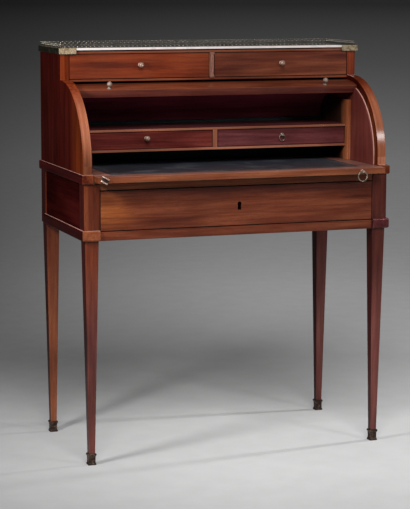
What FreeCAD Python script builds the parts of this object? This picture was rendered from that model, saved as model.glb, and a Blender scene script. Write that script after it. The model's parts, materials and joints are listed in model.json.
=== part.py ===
import FreeCAD, Part
import os
import types

import Sketcher

# A lady's cylinder desk in mahogany, in millimetres. X runs to the right, Y to the back and Z up from the
# floor. The origin is on the floor under the middle of the desk as it stands with its writing slide a little
# way out.

SIZES = {
    # Overall
    "width": 826,
    "panel_recess": 7.5,
    # Legs and sabots
    "stile_width": 41,
    "leg_width": 36,
    "foot_width": 16,
    "sabot_height": 30,
    "sabot_socket": 14,
    "sabot_body": 19,
    "sabot_collar": 22.5,
    "sabot_collar_height": 5,
    "sabot_lip": 21,
    "sabot_lip_height": 5,
    # Drawer case
    "apron_bottom": 577,
    "apron_thickness": 20,
    "apron_recess": 3,
    "rail_height": 23,
    "rail_depth": 30,
    "upper_rail_height": 16,
    "upper_rail_recess": 2,
    "runner_width": 28,
    "runner_height": 16,
    # Long drawer
    "drawer_height": 101,
    "drawer_gap": 1.5,
    "drawer_side_gap": 0.6,
    "drawer_play": 0.3,
    "drawer_front_thickness": 20,
    "drawer_box_drop": 12,
    "drawer_wall": 10,
    "drawer_floor": 6,
    "drawer_end_space": 20,
    "keyhole_width": 10.5,
    "keyhole_slot": 9,
    "keyhole_length": 21,
    "lock_width": 60,
    "lock_height": 42,
    "lock_depth": 12,
    "bolt_width": 24,
    "bolt_height": 24,
    "bolt_depth": 5,
    "bolt_travel": 8,
    "bolt_play": 0.3,
    # Mouldings
    "base_height": 27,
    "base_proud": 6,
    "base_round": 5,
    "waist_height": 24,
    "waist_proud": 6,
    "waist_round": 4,
    # Writing slide
    "bed_thickness": 6.5,
    "slide_thickness": 15,
    "slide_end_room": 24,
    "slide_play": 0.3,
    "slide_side_play": 1.5,
    "slide_out": 44,
    "slide_border": 46,
    "leather_thickness": 1.2,
    "leather_play": 0.2,
    "pull_reach": 10,
    "pull_inset": 66,
    "pull_rose": 10,
    "pull_rose_depth": 2,
    "pull_neck": 7,
    "pull_hole": 4.6,
    "ring_radius": 12.6,
    "ring_wire": 3,
    "bracket_inset": 16,
    "bracket_length": 20,
    "bracket_height": 16,
    "bracket_bar": 4.5,
    "bracket_plate": 1.5,
    "bracket_depth": 6,
    "bracket_tilt": 27,
    # Cylinder and its housing
    "side_thickness": 23.5,
    "lining_thickness": 6.5,
    "axis_rise": 22.2,
    "facing_radius": 203.5,
    "shell_recess": 11.5,
    "shell_thickness": 7.5,
    "shell_play": 0.4,
    "shell_headroom": 6,
    "shell_end_play": 0.5,
    "shell_sweep": 90,
    "cylinder_rail_thickness": 21,
    "cylinder_rail_sweep": 10,
    "cylinder_tilt": 69.5,
    "cylinder_knob_inset": 82.5,
    "cylinder_knob_rise": 3,
    "back_ease": 10.5,
    "back_thickness": 8,
    # Frieze
    "frieze_setback": 2,
    "frieze_rail_height": 5.5,
    "frieze_rail_depth": 28,
    "frieze_floor_thickness": 5.5,
    "frieze_drawer_height": 64.5,
    "frieze_knob_drop": 29.5,
    "frieze_drawer_gap": 1,
    "frieze_front_thickness": 16,
    "frieze_partition_width": 12,
    "frieze_top_rail_height": 5.5,
    "strip_width": 10,
    "strip_proud": 3,
    "strip_cap_width": 13,
    "strip_cap_height": 5,
    "strip_cap_proud": 4.5,
    "flute_radius": 1.1,
    "flute_spacing": 3,
    # Top
    "top_board_thickness": 3.5,
    "top_board_recess": 5,
    "marble_thickness": 6,
    "marble_overhang": 2.5,
    "marble_front_overhang": 5,
    "marble_round": 2,
    "band_thickness": 2,
    "band_clearance": 0.5,
    "band_return": 46,
    "gallery_height": 11,
    "gallery_thickness": 1.6,
    "gallery_inset": 2,
    "gallery_rail": 2.5,
    "gallery_pitch": 14,
    "gallery_bar": 3,
    # Interior
    "cheek_thickness": 9,
    "cheek_ahead": 43,
    "cheek_height": 162,
    "cheek_clearance": 4,
    "inside_clearance": 19,
    "inside_back_thickness": 8,
    "inside_back_rise": 8,
    "shelf_thickness": 6.5,
    "shelf_ahead": 28,
    "lower_shelf_rise": 37.5,
    "inner_drawer_height": 46,
    "inner_drawer_recess": 3,
    "inner_drawer_gap": 0.6,
    "inner_divider_width": 12,
    "inner_front_thickness": 12,
    "inner_pull_rise": 28,
    "inner_pull_reach": 9,
    "inner_ring_radius": 8,
    "inner_ring_wire": 2,
    "small_wall": 6,
    "small_floor": 4,
    # Knobs
    "knob_rose": 11,
    "knob_rose_depth": 2,
    "knob_neck": 6,
    "knob_neck_depth": 7,
    "knob_ball": 14,
    "knob_sink": 2.3,
}


class Size:
    """A length together with the formula that ties it to the sheet, so each place is worked out once."""

    def __init__(self, value, formula):
        self.value = float(value)
        self.formula = formula

    def __add__(self, other):
        other = as_size(other)
        return Size(self.value + other.value, f"({self.formula} + {other.formula})")

    def __sub__(self, other):
        other = as_size(other)
        return Size(self.value - other.value, f"({self.formula} - {other.formula})")

    def __mul__(self, other):
        other = as_size(other)
        return Size(self.value * other.value, f"({self.formula} * {other.formula})")

    def __truediv__(self, other):
        other = as_size(other)
        return Size(self.value / other.value, f"({self.formula} / {other.formula})")

    def __neg__(self):
        return Size(-self.value, f"(0 - {self.formula})")


def as_size(item):
    """Gives a plain number the form of a size."""
    return item if isinstance(item, Size) else Size(item, repr(item))


def root(size):
    """The square root of a size."""
    return Size(size.value**0.5, f"sqrt({size.formula})")


def midway(ends):
    """The middle of a stretch."""
    return (ends[0] + ends[1]) / 2


ZERO = as_size(0)
LEFT, RIGHT = -1, 1
SIDES = {"left": LEFT, "right": RIGHT}
FRONT_LEG, REAR_LEG = -1, 1

# Turns that stand a piece the way it is used
ALONG_X = FreeCAD.Rotation(FreeCAD.Vector(0, 1, 0), 90)
TOWARDS_FRONT = FreeCAD.Rotation(FreeCAD.Vector(1, 0, 0), 90)
UPRIGHT_WEDGE = FreeCAD.Rotation(FreeCAD.Vector(1, 0, 0), 90)
QUARTER_TURN = FreeCAD.Rotation(FreeCAD.Vector(0, 0, 1), 90)
LIFTING = FreeCAD.Vector(-1, 0, 0)

doc = FreeCAD.newDocument("CylinderDesk")
sheet = doc.addObject("Spreadsheet::Sheet", "Sizes")
for row, (alias, number) in enumerate(SIZES.items(), 1):
    sheet.set(f"A{row}", alias)
    sheet.set(f"B{row}", str(number))
    sheet.setAlias(f"B{row}", alias)
doc.recompute()
S = types.SimpleNamespace(**{alias: Size(number, f"Sizes.{alias}") for alias, number in SIZES.items()})

nodes = []


def keep(obj, label):
    """Names a finished sub-part and lists it for writing."""
    obj.Label = label
    nodes.append(obj)
    return obj


def bind(obj, **sizes):
    """Ties properties of an object to the sheet."""
    for name, size in sizes.items():
        obj.setExpression(name, as_size(size).formula)


def place(obj, x=ZERO, y=ZERO, z=ZERO, turn=None):
    """Sets where an object stands, with its corner or centre tied to the sheet."""
    if turn is not None:
        obj.Placement = FreeCAD.Placement(FreeCAD.Vector(), turn)
    for axis, size in (("x", x), ("y", y), ("z", z)):
        obj.setExpression(f"Placement.Base.{axis}", as_size(size).formula)
    return obj


def tilt(obj, axis, angle):
    """Turns an object about an axis by an angle of the sheet."""
    obj.Placement = FreeCAD.Placement(obj.Placement.Base, FreeCAD.Rotation(axis, angle.value))
    obj.setExpression("Placement.Rotation.Angle", angle.formula)
    return obj


def board(name, x, y, z):
    """A rectangular board. x, y and z are each a pair: where it starts and where it ends."""
    box = doc.addObject("Part::Box", name)
    bind(box, Length=x[1] - x[0], Width=y[1] - y[0], Height=z[1] - z[0])
    return place(box, x[0], y[0], z[0])


def rod(name, radius, length, x=ZERO, y=ZERO, z=ZERO, turn=None):
    """A round rod that starts at a point and runs along Z, or as it is turned."""
    cylinder = doc.addObject("Part::Cylinder", name)
    bind(cylinder, Radius=radius, Height=length)
    return place(cylinder, x, y, z, turn)


def ball(name, radius, y):
    """A ball on the Y axis."""
    sphere = doc.addObject("Part::Sphere", name)
    bind(sphere, Radius=radius)
    return place(sphere, y=y)


def ring(name, radius, wire, x, y, z):
    """A round ring of wire that faces the front."""
    torus = doc.addObject("Part::Torus", name)
    bind(torus, Radius1=radius, Radius2=wire / 2)
    return place(torus, x, y, z, TOWARDS_FRONT)


def taper(name, foot, top, height, x, y, z):
    """A square post that widens from its foot to its top."""
    wedge = doc.addObject("Part::Wedge", name)
    bind(wedge, Xmin=-foot / 2, Xmax=foot / 2, Zmin=-foot / 2, Zmax=foot / 2, Ymin=0, Ymax=height)
    bind(wedge, X2min=-top / 2, X2max=top / 2, Z2min=-top / 2, Z2max=top / 2)
    return place(wedge, x, y, z, UPRIGHT_WEDGE)


def fuse(name, *pieces):
    """Pieces that are made in one."""
    result = doc.addObject("Part::MultiFuse", name)
    result.Shapes = list(pieces)
    result.Refine = True
    return result


def cut(name, base, tool):
    """A piece with another shape taken out of it."""
    result = doc.addObject("Part::Cut", name)
    result.Base = base
    result.Tool = tool
    return result


def group(name, *pieces):
    """Separate pieces of one kind that share a node."""
    result = doc.addObject("Part::Compound", name)
    result.Links = list(pieces)
    return result


def span(side, near, far):
    """A stretch of X on the left or the right, from its distances to the middle."""
    return (near, far) if side == RIGHT else (-far, -near)


def on_side(side, distance):
    """A place in X on the left or the right."""
    return distance if side == RIGHT else -distance


def plane_of(body, role):
    """One of a body's own origin planes or axes."""
    return next(item for item in body.Origin.OriginFeatures if item.Role == role)


def new_body(name):
    """An empty body."""
    return doc.addObject("PartDesign::Body", name)


def arc_between(start, end, radius):
    """A round stretch between two points that turns left, as the outline of a convex shape does."""
    middle = (start + end) * 0.5
    chord = end - start
    across = FreeCAD.Vector(-chord.y, chord.x, 0).normalize()
    rise = max(radius**2 - (chord.Length / 2) ** 2, 0) ** 0.5
    centre = middle + across * rise
    first = (start - centre).getAngle(FreeCAD.Vector(1, 0, 0))
    first = first if (start - centre).y >= 0 else -first
    last = (end - centre).getAngle(FreeCAD.Vector(1, 0, 0))
    last = last if (end - centre).y >= 0 else -last
    circle = Part.Circle(centre, FreeCAD.Vector(0, 0, 1), radius)
    return Part.ArcOfCircle(circle, first, last)


def outline(body, name, role, points, closed=True):
    """A sketch on one of the body's planes. A point is (across, up), or (across, up, radius) where the
    stretch to the next point is an arc that turns left."""
    sketch = body.newObject("Sketcher::SketchObject", name)
    sketch.AttachmentSupport = [(plane_of(body, role), "")]
    sketch.MapMode = "FlatFace"
    corners = [FreeCAD.Vector(as_size(p[0]).value, as_size(p[1]).value, 0) for p in points]
    count = len(points) if closed else len(points) - 1
    for index in range(count):
        start, end = corners[index], corners[(index + 1) % len(points)]
        if len(points[index]) == 3:
            sketch.addGeometry(arc_between(start, end, points[index][2].value))
        else:
            sketch.addGeometry(Part.LineSegment(start, end))
    for index in range(count if closed else count - 1):
        sketch.addConstraint(Sketcher.Constraint("Coincident", index, 2, (index + 1) % count, 1))
    for index, point in enumerate(points):
        where = (index, 1) if index < count else (index - 1, 2)
        for kind, size in (("DistanceX", as_size(point[0])), ("DistanceY", as_size(point[1]))):
            number = sketch.addConstraint(Sketcher.Constraint(kind, -1, 1, *where, size.value))
            sketch.setExpression(f"Constraints[{number}]", size.formula)
        if len(point) == 3:
            number = sketch.addConstraint(Sketcher.Constraint("Radius", index, point[2].value))
            sketch.setExpression(f"Constraints[{number}]", point[2].formula)
    return sketch


def pad(body, sketch, length, backwards=False):
    """Raises a sketch into a solid."""
    feature = body.newObject("PartDesign::Pad", sketch.Name + "Pad")
    feature.Profile = sketch
    feature.Reversed = backwards
    bind(feature, Length=length)
    body.Tip = feature
    return feature


def plate(name, role, points, thickness):
    """A flat piece of even thickness with a drawn outline."""
    body = new_body(name)
    pad(body, outline(body, name + "Outline", role, points), thickness)
    return body


def revolve(body, sketch, angle):
    """Turns a sketch about the body's X axis, upwards from the front."""
    feature = body.newObject("PartDesign::Revolution", sketch.Name + "Turn")
    feature.Profile = sketch
    feature.ReferenceAxis = (plane_of(body, "X_Axis"), [""])
    feature.Reversed = True
    bind(feature, Angle=angle)
    body.Tip = feature
    return feature


def rectangle(x0, x1, y0, y1):
    """The corners of a rectangle."""
    return [(x0, y0), (x1, y0), (x1, y1), (x0, y1)]


# Places in X, as distances from the middle
half_width = S.width / 2
leg_inner = half_width - S.stile_width
side_inner = half_width - S.side_thickness
lining_inner = side_inner - S.lining_thickness
cheek_inner = lining_inner - S.cheek_thickness
slide_half = side_inner - S.slide_side_play

# Places in Y
depth = S.panel_recess + S.facing_radius * 2 - S.back_ease + S.back_thickness
front = (S.slide_out + S.pull_reach - depth) / 2
back = front + depth
axis_y = front + S.panel_recess + S.facing_radius
slide_front = front - S.slide_out
frieze_front = axis_y + S.frieze_setback
back_inner = back - S.back_thickness
apron_inner = back - S.apron_recess - S.apron_thickness

# Radii about the cylinder's axis
shell_outer = S.facing_radius - S.shell_recess
shell_inner = shell_outer - S.shell_thickness
lining_radius = shell_inner - S.shell_play
rail_inner = shell_outer - S.cylinder_rail_thickness

# Places in Z
rail_top = S.apron_bottom + S.rail_height
drawer_bottom = rail_top + S.drawer_gap
drawer_top = drawer_bottom + S.drawer_height
upper_rail_bottom = drawer_top + S.drawer_gap
case_top = upper_rail_bottom + S.upper_rail_height
waist_top = case_top + S.waist_height
bed_top = case_top + S.bed_thickness
slide_bottom = bed_top + S.slide_play
slide_top = slide_bottom + S.slide_thickness
lining_bottom = slide_top + S.slide_play
axis_z = slide_top + S.axis_rise
frieze_bottom = axis_z + shell_outer + S.shell_headroom
frieze_rail_top = frieze_bottom + S.frieze_rail_height
frieze_drawer_bottom = frieze_rail_top + S.frieze_drawer_gap
frieze_drawer_top = frieze_drawer_bottom + S.frieze_drawer_height
frieze_top_rail = frieze_drawer_top + S.frieze_drawer_gap
panel_top = frieze_top_rail + S.frieze_top_rail_height
marble_bottom = panel_top + S.top_board_thickness
marble_top = marble_bottom + S.marble_thickness
lower_shelf_bottom = lining_bottom + S.lower_shelf_rise
lower_shelf_top = lower_shelf_bottom + S.shelf_thickness
upper_shelf_bottom = lower_shelf_top + S.inner_drawer_height
upper_shelf_top = upper_shelf_bottom + S.shelf_thickness
inside_back_top = upper_shelf_top + S.inside_back_rise

# How far behind the axis the interior reaches, so that its upper edge stays clear inside the cylinder
inside_radius = lining_radius - S.inside_clearance
inside_rise = inside_back_top - axis_z
inside_reach = root(inside_radius * inside_radius - inside_rise * inside_rise)
inside_back = axis_y + inside_reach


def legs_and_sabots():
    """Four legs, each a square stile in the case, tapered below it down to the socket of a cast sabot."""
    foot_z = S.sabot_height - S.sabot_socket
    sabots = []
    for end, row in (("front", FRONT_LEG), ("rear", REAR_LEG)):
        for name, side in SIDES.items():
            key = f"{end}_{name}"
            reach = S.stile_width / 2
            x = on_side(side, half_width - reach)
            y = front + reach if row == FRONT_LEG else back - reach
            square = ((x - reach, x + reach), (y - reach, y + reach))
            stile = board(f"stile_{key}", *square, (S.apron_bottom, case_top))
            lower = taper(f"taper_{key}", S.foot_width, S.leg_width, S.apron_bottom - foot_z, x, y, foot_z)
            leg = keep(fuse(f"leg_{key}_solid", stile, lower), f"leg_{key}")
            sabots.append(cut(f"sabot_{key}", sabot_block(key, x, y), leg))
    keep(group("sabot_group", *sabots), "sabots")


def sabot_block(key, x, y):
    """A sabot before its socket is cut: a lip on the floor, a slim body and a collar round the leg."""
    collar_z = S.sabot_height - S.sabot_collar_height
    parts = []
    for name, width, low, high in (
        ("lip", S.sabot_lip, ZERO, S.sabot_lip_height),
        ("body", S.sabot_body, S.sabot_lip_height, collar_z),
        ("collar", S.sabot_collar, collar_z, S.sabot_height),
    ):
        reach = width / 2
        square = ((x - reach, x + reach), (y - reach, y + reach))
        parts.append(board(f"sabot_{name}_{key}", *square, (low, high)))
    return fuse(f"sabot_block_{key}", *parts)


def drawer_case():
    """Aprons, rails and runners between the legs, and the bed that the slide runs on."""
    apron_z = (S.apron_bottom, case_top)
    apron_outer = half_width - S.apron_recess
    apron_y = (front + S.stile_width, back - S.stile_width)
    between_legs = (-leg_inner, leg_inner)
    for name, side in SIDES.items():
        x = span(side, apron_outer - S.apron_thickness, apron_outer)
        keep(board(f"apron_{name}_board", x, apron_y, apron_z), f"apron_{name}")
    back_y = (apron_inner, back - S.apron_recess)
    keep(board("apron_back_board", between_legs, back_y, apron_z), "apron_back")
    lower_y = (front, front + S.rail_depth)
    keep(board("lower_rail", between_legs, lower_y, (S.apron_bottom, rail_top)), "drawer_rail_lower")
    upper_y = (front + S.upper_rail_recess, front + S.rail_depth + S.upper_rail_recess)
    upper = board("upper_rail", between_legs, upper_y, (upper_rail_bottom, case_top))
    keep(cut("upper_rail_mortised", upper, bolt_mortise()), "drawer_rail_upper")
    runners = []
    for name, side in SIDES.items():
        x = span(side, leg_inner - S.runner_width, leg_inner)
        y = (front + S.rail_depth, apron_inner)
        runners.append(board(f"runner_{name}", x, y, (rail_top - S.runner_height, rail_top)))
    keep(group("runner_group", *runners), "drawer_runners")
    bed_y = (front + S.upper_rail_recess, back_inner)
    keep(board("bed_board", (-side_inner, side_inner), bed_y, (case_top, bed_top)), "slide_bed")


def bolt_place():
    """Where the lock bolt lies in Y: in the middle of the lock behind the drawer front."""
    middle = front + S.drawer_front_thickness + S.lock_depth / 2
    return middle - S.bolt_depth / 2, middle + S.bolt_depth / 2


def bolt_mortise():
    """The slot in the upper rail that the thrown bolt enters, open below."""
    near, far = bolt_place()
    reach = S.bolt_width / 2 + S.bolt_play
    return board(
        "bolt_mortise",
        (-reach, reach),
        (near - S.bolt_play, far + S.bolt_play),
        (upper_rail_bottom, upper_rail_bottom + S.bolt_travel),
    )


def moulding(name, side, rear, return_end, low, height, proud, radius):
    """A moulding along one side that turns the front corner, with both outer edges rounded."""
    wall = on_side(side, half_width)
    shoulder = proud - radius
    if side == RIGHT:
        points = [(ZERO, ZERO), (shoulder, ZERO, radius), (proud, radius), (proud, height - radius, radius)]
        points += [(shoulder, height), (ZERO, height)]
    else:
        points = [(ZERO, ZERO), (ZERO, height), (-shoulder, height, radius), (-proud, height - radius)]
        points += [(-proud, radius, radius), (-shoulder, ZERO)]
    body = new_body(f"{name}_body")
    profile = outline(body, f"{name}_profile", "XZ_Plane", points)
    way = [(ZERO, ZERO), (ZERO, front - rear), (return_end - wall, front - rear)]
    path = outline(body, f"{name}_path", "XY_Plane", way, closed=False)
    pipe = body.newObject("PartDesign::AdditivePipe", f"{name}_pipe")
    pipe.Profile = profile
    pipe.Spine = path
    pipe.Transition = "Right corner"
    body.Tip = pipe
    return place(body, wall, rear, low)


def mouldings():
    """The base moulding round the foot of the drawer case and the waist moulding at writing height."""
    bases, waists = [], []
    for name, side in SIDES.items():
        leg_end = on_side(side, leg_inner)
        base = (S.apron_bottom, S.base_height, S.base_proud, S.base_round)
        bases.append(moulding(f"base_{name}", side, back - S.stile_width, leg_end, *base))
        panel_end = on_side(side, side_inner)
        waist = (case_top, S.waist_height, S.waist_proud, S.waist_round)
        waists.append(moulding(f"waist_{name}", side, back, panel_end, *waist))
    keep(group("base_group", *bases), "base_mouldings")
    keep(group("waist_group", *waists), "waist_mouldings")


def side_panels():
    """The side panels, round at the front up to the frieze over a square foot behind the waist moulding,
    and the linings that carry the cylinder."""
    foot = case_top - axis_z
    ledge = waist_top - axis_z
    foot_front = front - axis_y
    top = panel_top - axis_z
    rear = back - axis_y
    panel = [
        (foot_front, foot),
        (rear, foot),
        (rear, top),
        (S.frieze_setback, top),
        (S.frieze_setback, S.facing_radius),
        (ZERO, S.facing_radius, S.facing_radius),
        (-S.facing_radius, ZERO),
        (-S.facing_radius, ledge),
        (foot_front, ledge),
    ]
    lining_foot = lining_bottom - axis_z
    lining_reach = root(lining_radius * lining_radius - lining_foot * lining_foot)
    lining = [
        (-lining_reach, lining_foot),
        (lining_radius, lining_foot),
        (lining_radius, ZERO, lining_radius),
        (ZERO, lining_radius, lining_radius),
        (-lining_radius, ZERO, lining_radius),
    ]
    for name, side in SIDES.items():
        body = plate(f"side_{name}", "YZ_Plane", panel, S.side_thickness)
        x = span(side, side_inner, half_width)[0]
        keep(place(body, x, axis_y, axis_z), f"side_panel_{name}")
        body = plate(f"track_{name}", "YZ_Plane", lining, S.lining_thickness)
        x = span(side, lining_inner, side_inner)[0]
        keep(place(body, x, axis_y, axis_z), f"lining_{name}")
    across = (-side_inner, side_inner)
    keep(board("back_board", across, (back_inner, back), (bed_top, panel_top)), "back_panel")


def frieze():
    """The frame of the two upper drawers: rails, floor, partition and the fluted strip on its edge."""
    across = (-side_inner, side_inner)
    rail_y = (frieze_front, frieze_front + S.frieze_rail_depth)
    keep(board("frieze_low_rail", across, rail_y, (frieze_bottom, frieze_rail_top)), "frieze_rail_lower")
    keep(board("frieze_high_rail", across, rail_y, (frieze_top_rail, panel_top)), "frieze_rail_top")
    floor_y = (frieze_front + S.frieze_rail_depth, back_inner)
    floor_z = (frieze_rail_top - S.frieze_floor_thickness, frieze_rail_top)
    keep(board("frieze_board", across, floor_y, floor_z), "frieze_floor")
    reach = S.frieze_partition_width / 2
    partition_y = (frieze_front, back_inner)
    partition_z = (frieze_rail_top, frieze_top_rail)
    keep(board("partition_board", (-reach, reach), partition_y, partition_z), "frieze_partition")
    keep(fluted_strip(), "fluted_strip")


def fluted_strip():
    """A brass strip with three flutes between a small base and a small capital."""
    reach, cap = S.strip_width / 2, S.strip_cap_width / 2
    strip_y = (frieze_front - S.strip_proud, frieze_front)
    cap_y = (frieze_front - S.strip_cap_proud, frieze_front)
    low, high = frieze_rail_top, frieze_top_rail
    shaft = board("strip_shaft", (-reach, reach), strip_y, (low, high))
    foot = board("strip_base", (-cap, cap), cap_y, (low, low + S.strip_cap_height))
    head = board("strip_capital", (-cap, cap), cap_y, (high - S.strip_cap_height, high))
    flute_foot = low + S.strip_cap_height
    length = high - S.strip_cap_height - flute_foot
    flutes = []
    for number in (-1, 0, 1):
        x = S.flute_spacing * number
        flutes.append(rod(f"flute_{number + 2}", S.flute_radius, length, x, strip_y[0], flute_foot))
    return cut("strip_fluted", fuse("strip_block", shaft, foot, head), group("flutes", *flutes))


def top():
    """The thin top board, the marble with its rounded upper edge, the corner bands and the gallery."""
    inset = half_width - S.top_board_recess
    board_y = (frieze_front + S.top_board_recess, back - S.top_board_recess)
    keep(board("top_slab", (-inset, inset), board_y, (panel_top, marble_bottom)), "top_board")
    marble_half = half_width + S.marble_overhang
    marble_front = frieze_front - S.marble_front_overhang
    corners = rectangle(-marble_half, marble_half, marble_front, back)
    body = plate("marble", "XY_Plane", corners, S.marble_thickness)
    doc.recompute()
    slab = body.Tip
    half_way = S.marble_thickness.value / 2
    upper = [f"Edge{n}" for n, edge in enumerate(slab.Shape.Edges, 1) if edge.BoundBox.ZMin > half_way]
    rounding = body.newObject("PartDesign::Fillet", "marble_edge")
    rounding.Base = (slab, upper)
    bind(rounding, Radius=S.marble_round)
    body.Tip = rounding
    keep(place(body, z=marble_bottom), "marble_top")
    corner_bands(marble_half, marble_front)
    gallery(marble_half, marble_front)


def corner_bands(marble_half, marble_front):
    """Brass bands along the marble's sides that turn its front corners."""
    bands = []
    thick = S.band_thickness
    outer_front = marble_front - thick
    band_z = (frieze_drawer_top + S.band_clearance, marble_top)
    for name, side in SIDES.items():
        x = span(side, marble_half, marble_half + thick)
        flank = board(f"band_flank_{name}", x, (outer_front, back), band_z)
        x = span(side, marble_half + thick - S.band_return, marble_half + thick)
        turn = board(f"band_turn_{name}", x, (outer_front, marble_front), band_z)
        bands.append(fuse(f"band_{name}", flank, turn))
    keep(group("band_group", *bands), "corner_bands")


def gallery_strip(name, length):
    """A low fence of brass with a row of diamond piercings, standing along X from its left end."""
    body = new_body(name)
    strip = rectangle(ZERO, length, ZERO, S.gallery_height)
    pad(body, outline(body, f"{name}_outline", "XZ_Plane", strip), S.gallery_thickness)
    low, high = S.gallery_rail, S.gallery_height - S.gallery_rail
    middle = S.gallery_pitch / 2 + S.gallery_bar / 2
    reach = (S.gallery_pitch - S.gallery_bar) / 2
    diamond = [(middle, low), (middle + reach, S.gallery_height / 2), (middle, high)]
    diamond += [(middle - reach, S.gallery_height / 2)]
    pierce = body.newObject("PartDesign::Pocket", f"{name}_piercing")
    pierce.Profile = outline(body, f"{name}_diamond", "XZ_Plane", diamond)
    pierce.Type = "ThroughAll"
    pierce.Midplane = True
    body.Tip = pierce
    pattern = body.newObject("PartDesign::LinearPattern", f"{name}_row")
    pattern.Originals = [pierce]
    pattern.Direction = (plane_of(body, "X_Axis"), [""])
    count = int((length.value - S.gallery_bar.value) // S.gallery_pitch.value)
    pattern.Occurrences = count
    bind(pattern, Length=S.gallery_pitch * (count - 1))
    body.Tip = pattern
    return body


def gallery(marble_half, marble_front):
    """The pierced gallery round the back and both sides of the marble."""
    line = marble_half - S.gallery_inset
    rear = back - S.gallery_inset
    thick = S.gallery_thickness
    behind = place(gallery_strip("gallery_back", line * 2), -line, rear, marble_top)
    strips = [behind]
    length = rear - thick - marble_front - S.gallery_inset
    for name, side in SIDES.items():
        strip = gallery_strip(f"gallery_{name}", length)
        x = span(side, line - thick, line)[1]
        strips.append(place(strip, x - thick, marble_front + S.gallery_inset, marble_top, QUARTER_TURN))
    keep(group("gallery_group", *strips), "gallery")


def interior():
    """The fitted interior: cheeks against the linings, two shelves, a divider and a back board."""
    across = (-cheek_inner, cheek_inner)
    cheek_y = (axis_y - S.cheek_ahead, inside_back)
    cheek_z = (lining_bottom, lining_bottom + S.cheek_height)
    radius = lining_radius - S.cheek_clearance
    clear = rod("cheek_limit", radius, S.width, -half_width, axis_y, axis_z, ALONG_X)
    for name, side in SIDES.items():
        blank = board(f"cheek_blank_{name}", span(side, cheek_inner, lining_inner), cheek_y, cheek_z)
        cheek = doc.addObject("Part::Common", f"cheek_shape_{name}")
        cheek.Base = blank
        cheek.Tool = clear
        keep(cheek, f"cheek_{name}")
    shelf_y = (axis_y - S.shelf_ahead, inside_back - S.inside_back_thickness)
    keep(board("low_shelf", across, shelf_y, (lower_shelf_bottom, lower_shelf_top)), "shelf_lower")
    keep(board("high_shelf", across, shelf_y, (upper_shelf_bottom, upper_shelf_top)), "shelf_upper")
    reach = S.inner_divider_width / 2
    divider_z = (lower_shelf_top, upper_shelf_bottom)
    keep(board("divider_board", (-reach, reach), shelf_y, divider_z), "shelf_divider")
    back_y = (inside_back - S.inside_back_thickness, inside_back)
    back_z = (lining_bottom, inside_back_top)
    keep(board("inside_back_board", across, back_y, back_z), "interior_back")


def cylinder():
    """The curved shell and its thick bottom rail, drawn shut and lifted open together."""
    shell_half = side_inner - S.shell_end_play
    rail_half = lining_inner - S.shell_end_play
    shell = new_body("shell")
    points = rectangle(-shell_half, shell_half, -shell_outer, -shell_inner)
    revolve(shell, outline(shell, "shell_section", "XY_Plane", points), S.shell_sweep)
    place(shell, y=axis_y, z=axis_z)
    keep(tilt(shell, LIFTING, S.cylinder_tilt + S.cylinder_rail_sweep), "cylinder_shell")
    rail = new_body("bottom_rail")
    points = [
        (-shell_half, -shell_outer),
        (shell_half, -shell_outer),
        (shell_half, -shell_inner),
        (rail_half, -shell_inner),
        (rail_half, -rail_inner),
        (-rail_half, -rail_inner),
        (-rail_half, -shell_inner),
        (-shell_half, -shell_inner),
    ]
    revolve(rail, outline(rail, "rail_section", "XY_Plane", points), S.cylinder_rail_sweep)
    place(rail, y=axis_y, z=axis_z)
    keep(tilt(rail, LIFTING, S.cylinder_tilt), "cylinder_rail")
    knobs = []
    for name, side in SIDES.items():
        turned = knob(f"cylinder_knob_{name}", shell_outer)
        place(turned, on_side(side, rail_half - S.cylinder_knob_inset), axis_y, axis_z)
        knobs.append(tilt(turned, LIFTING, S.cylinder_tilt + S.cylinder_knob_rise))
    keep(group("cylinder_knob_group", *knobs), "cylinder_knobs")


def knob(name, seat):
    """A turned brass knob that points to the front from its seat at a distance ahead of its own origin."""
    rose = rod(f"{name}_rose", S.knob_rose / 2, S.knob_rose_depth, y=-seat, turn=TOWARDS_FRONT)
    neck = rod(f"{name}_neck", S.knob_neck / 2, S.knob_neck_depth, y=-seat, turn=TOWARDS_FRONT)
    head = ball(f"{name}_ball", S.knob_ball / 2, S.knob_sink - seat - S.knob_neck_depth - S.knob_ball / 2)
    return fuse(name, rose, neck, head)


def pull_post(name, x, y, z, reach):
    """A turned post that points to the front, and the Y of the cross hole that takes its ring."""
    hole_y = y - reach + S.pull_hole
    rose = rod(f"{name}_rose", S.pull_rose / 2, S.pull_rose_depth, x, y, z, TOWARDS_FRONT)
    neck = rod(f"{name}_neck", S.pull_neck / 2, reach, x, y, z, TOWARDS_FRONT)
    hole = rod(f"{name}_hole", S.pull_hole / 2, S.pull_neck * 2, x - S.pull_neck, hole_y, z, ALONG_X)
    return cut(f"{name}_drilled", fuse(f"{name}_turned", rose, neck), hole), hole_y


def writing_slide():
    """The slide with its leather, the ring pull at the right and the bracket of a lost pull at the left."""
    slide_back = back_inner - S.slide_end_room - S.slide_out
    slide_y, slide_z = (slide_front, slide_back), (slide_bottom, slide_top)
    core = board("slide_blank", (-slide_half, slide_half), slide_y, slide_z)
    border = slide_half - S.slide_border
    recess_y = (slide_front + S.slide_border, slide_back - S.slide_border)
    recess_z = (slide_top - S.leather_thickness, slide_top)
    recess = board("leather_recess", (-border, border), recess_y, recess_z)
    keep(cut("slide_panel", core, recess), "slide_board")
    edge = border - S.leather_play
    skin_y = (recess_y[0] + S.leather_play, recess_y[1] - S.leather_play)
    keep(board("leather_skin", (-edge, edge), skin_y, recess_z), "slide_leather")
    middle = slide_bottom + S.slide_thickness / 2
    pull_x = slide_half - S.pull_inset
    post, hole_y = pull_post("slide_pull", pull_x, slide_front, middle, S.pull_reach)
    keep(post, "slide_ring_post")
    hoop = ring("slide_hoop", S.ring_radius, S.ring_wire, pull_x, hole_y, middle - S.ring_radius)
    keep(hoop, "slide_ring")
    keep(pull_bracket(middle), "slide_bracket")


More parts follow.
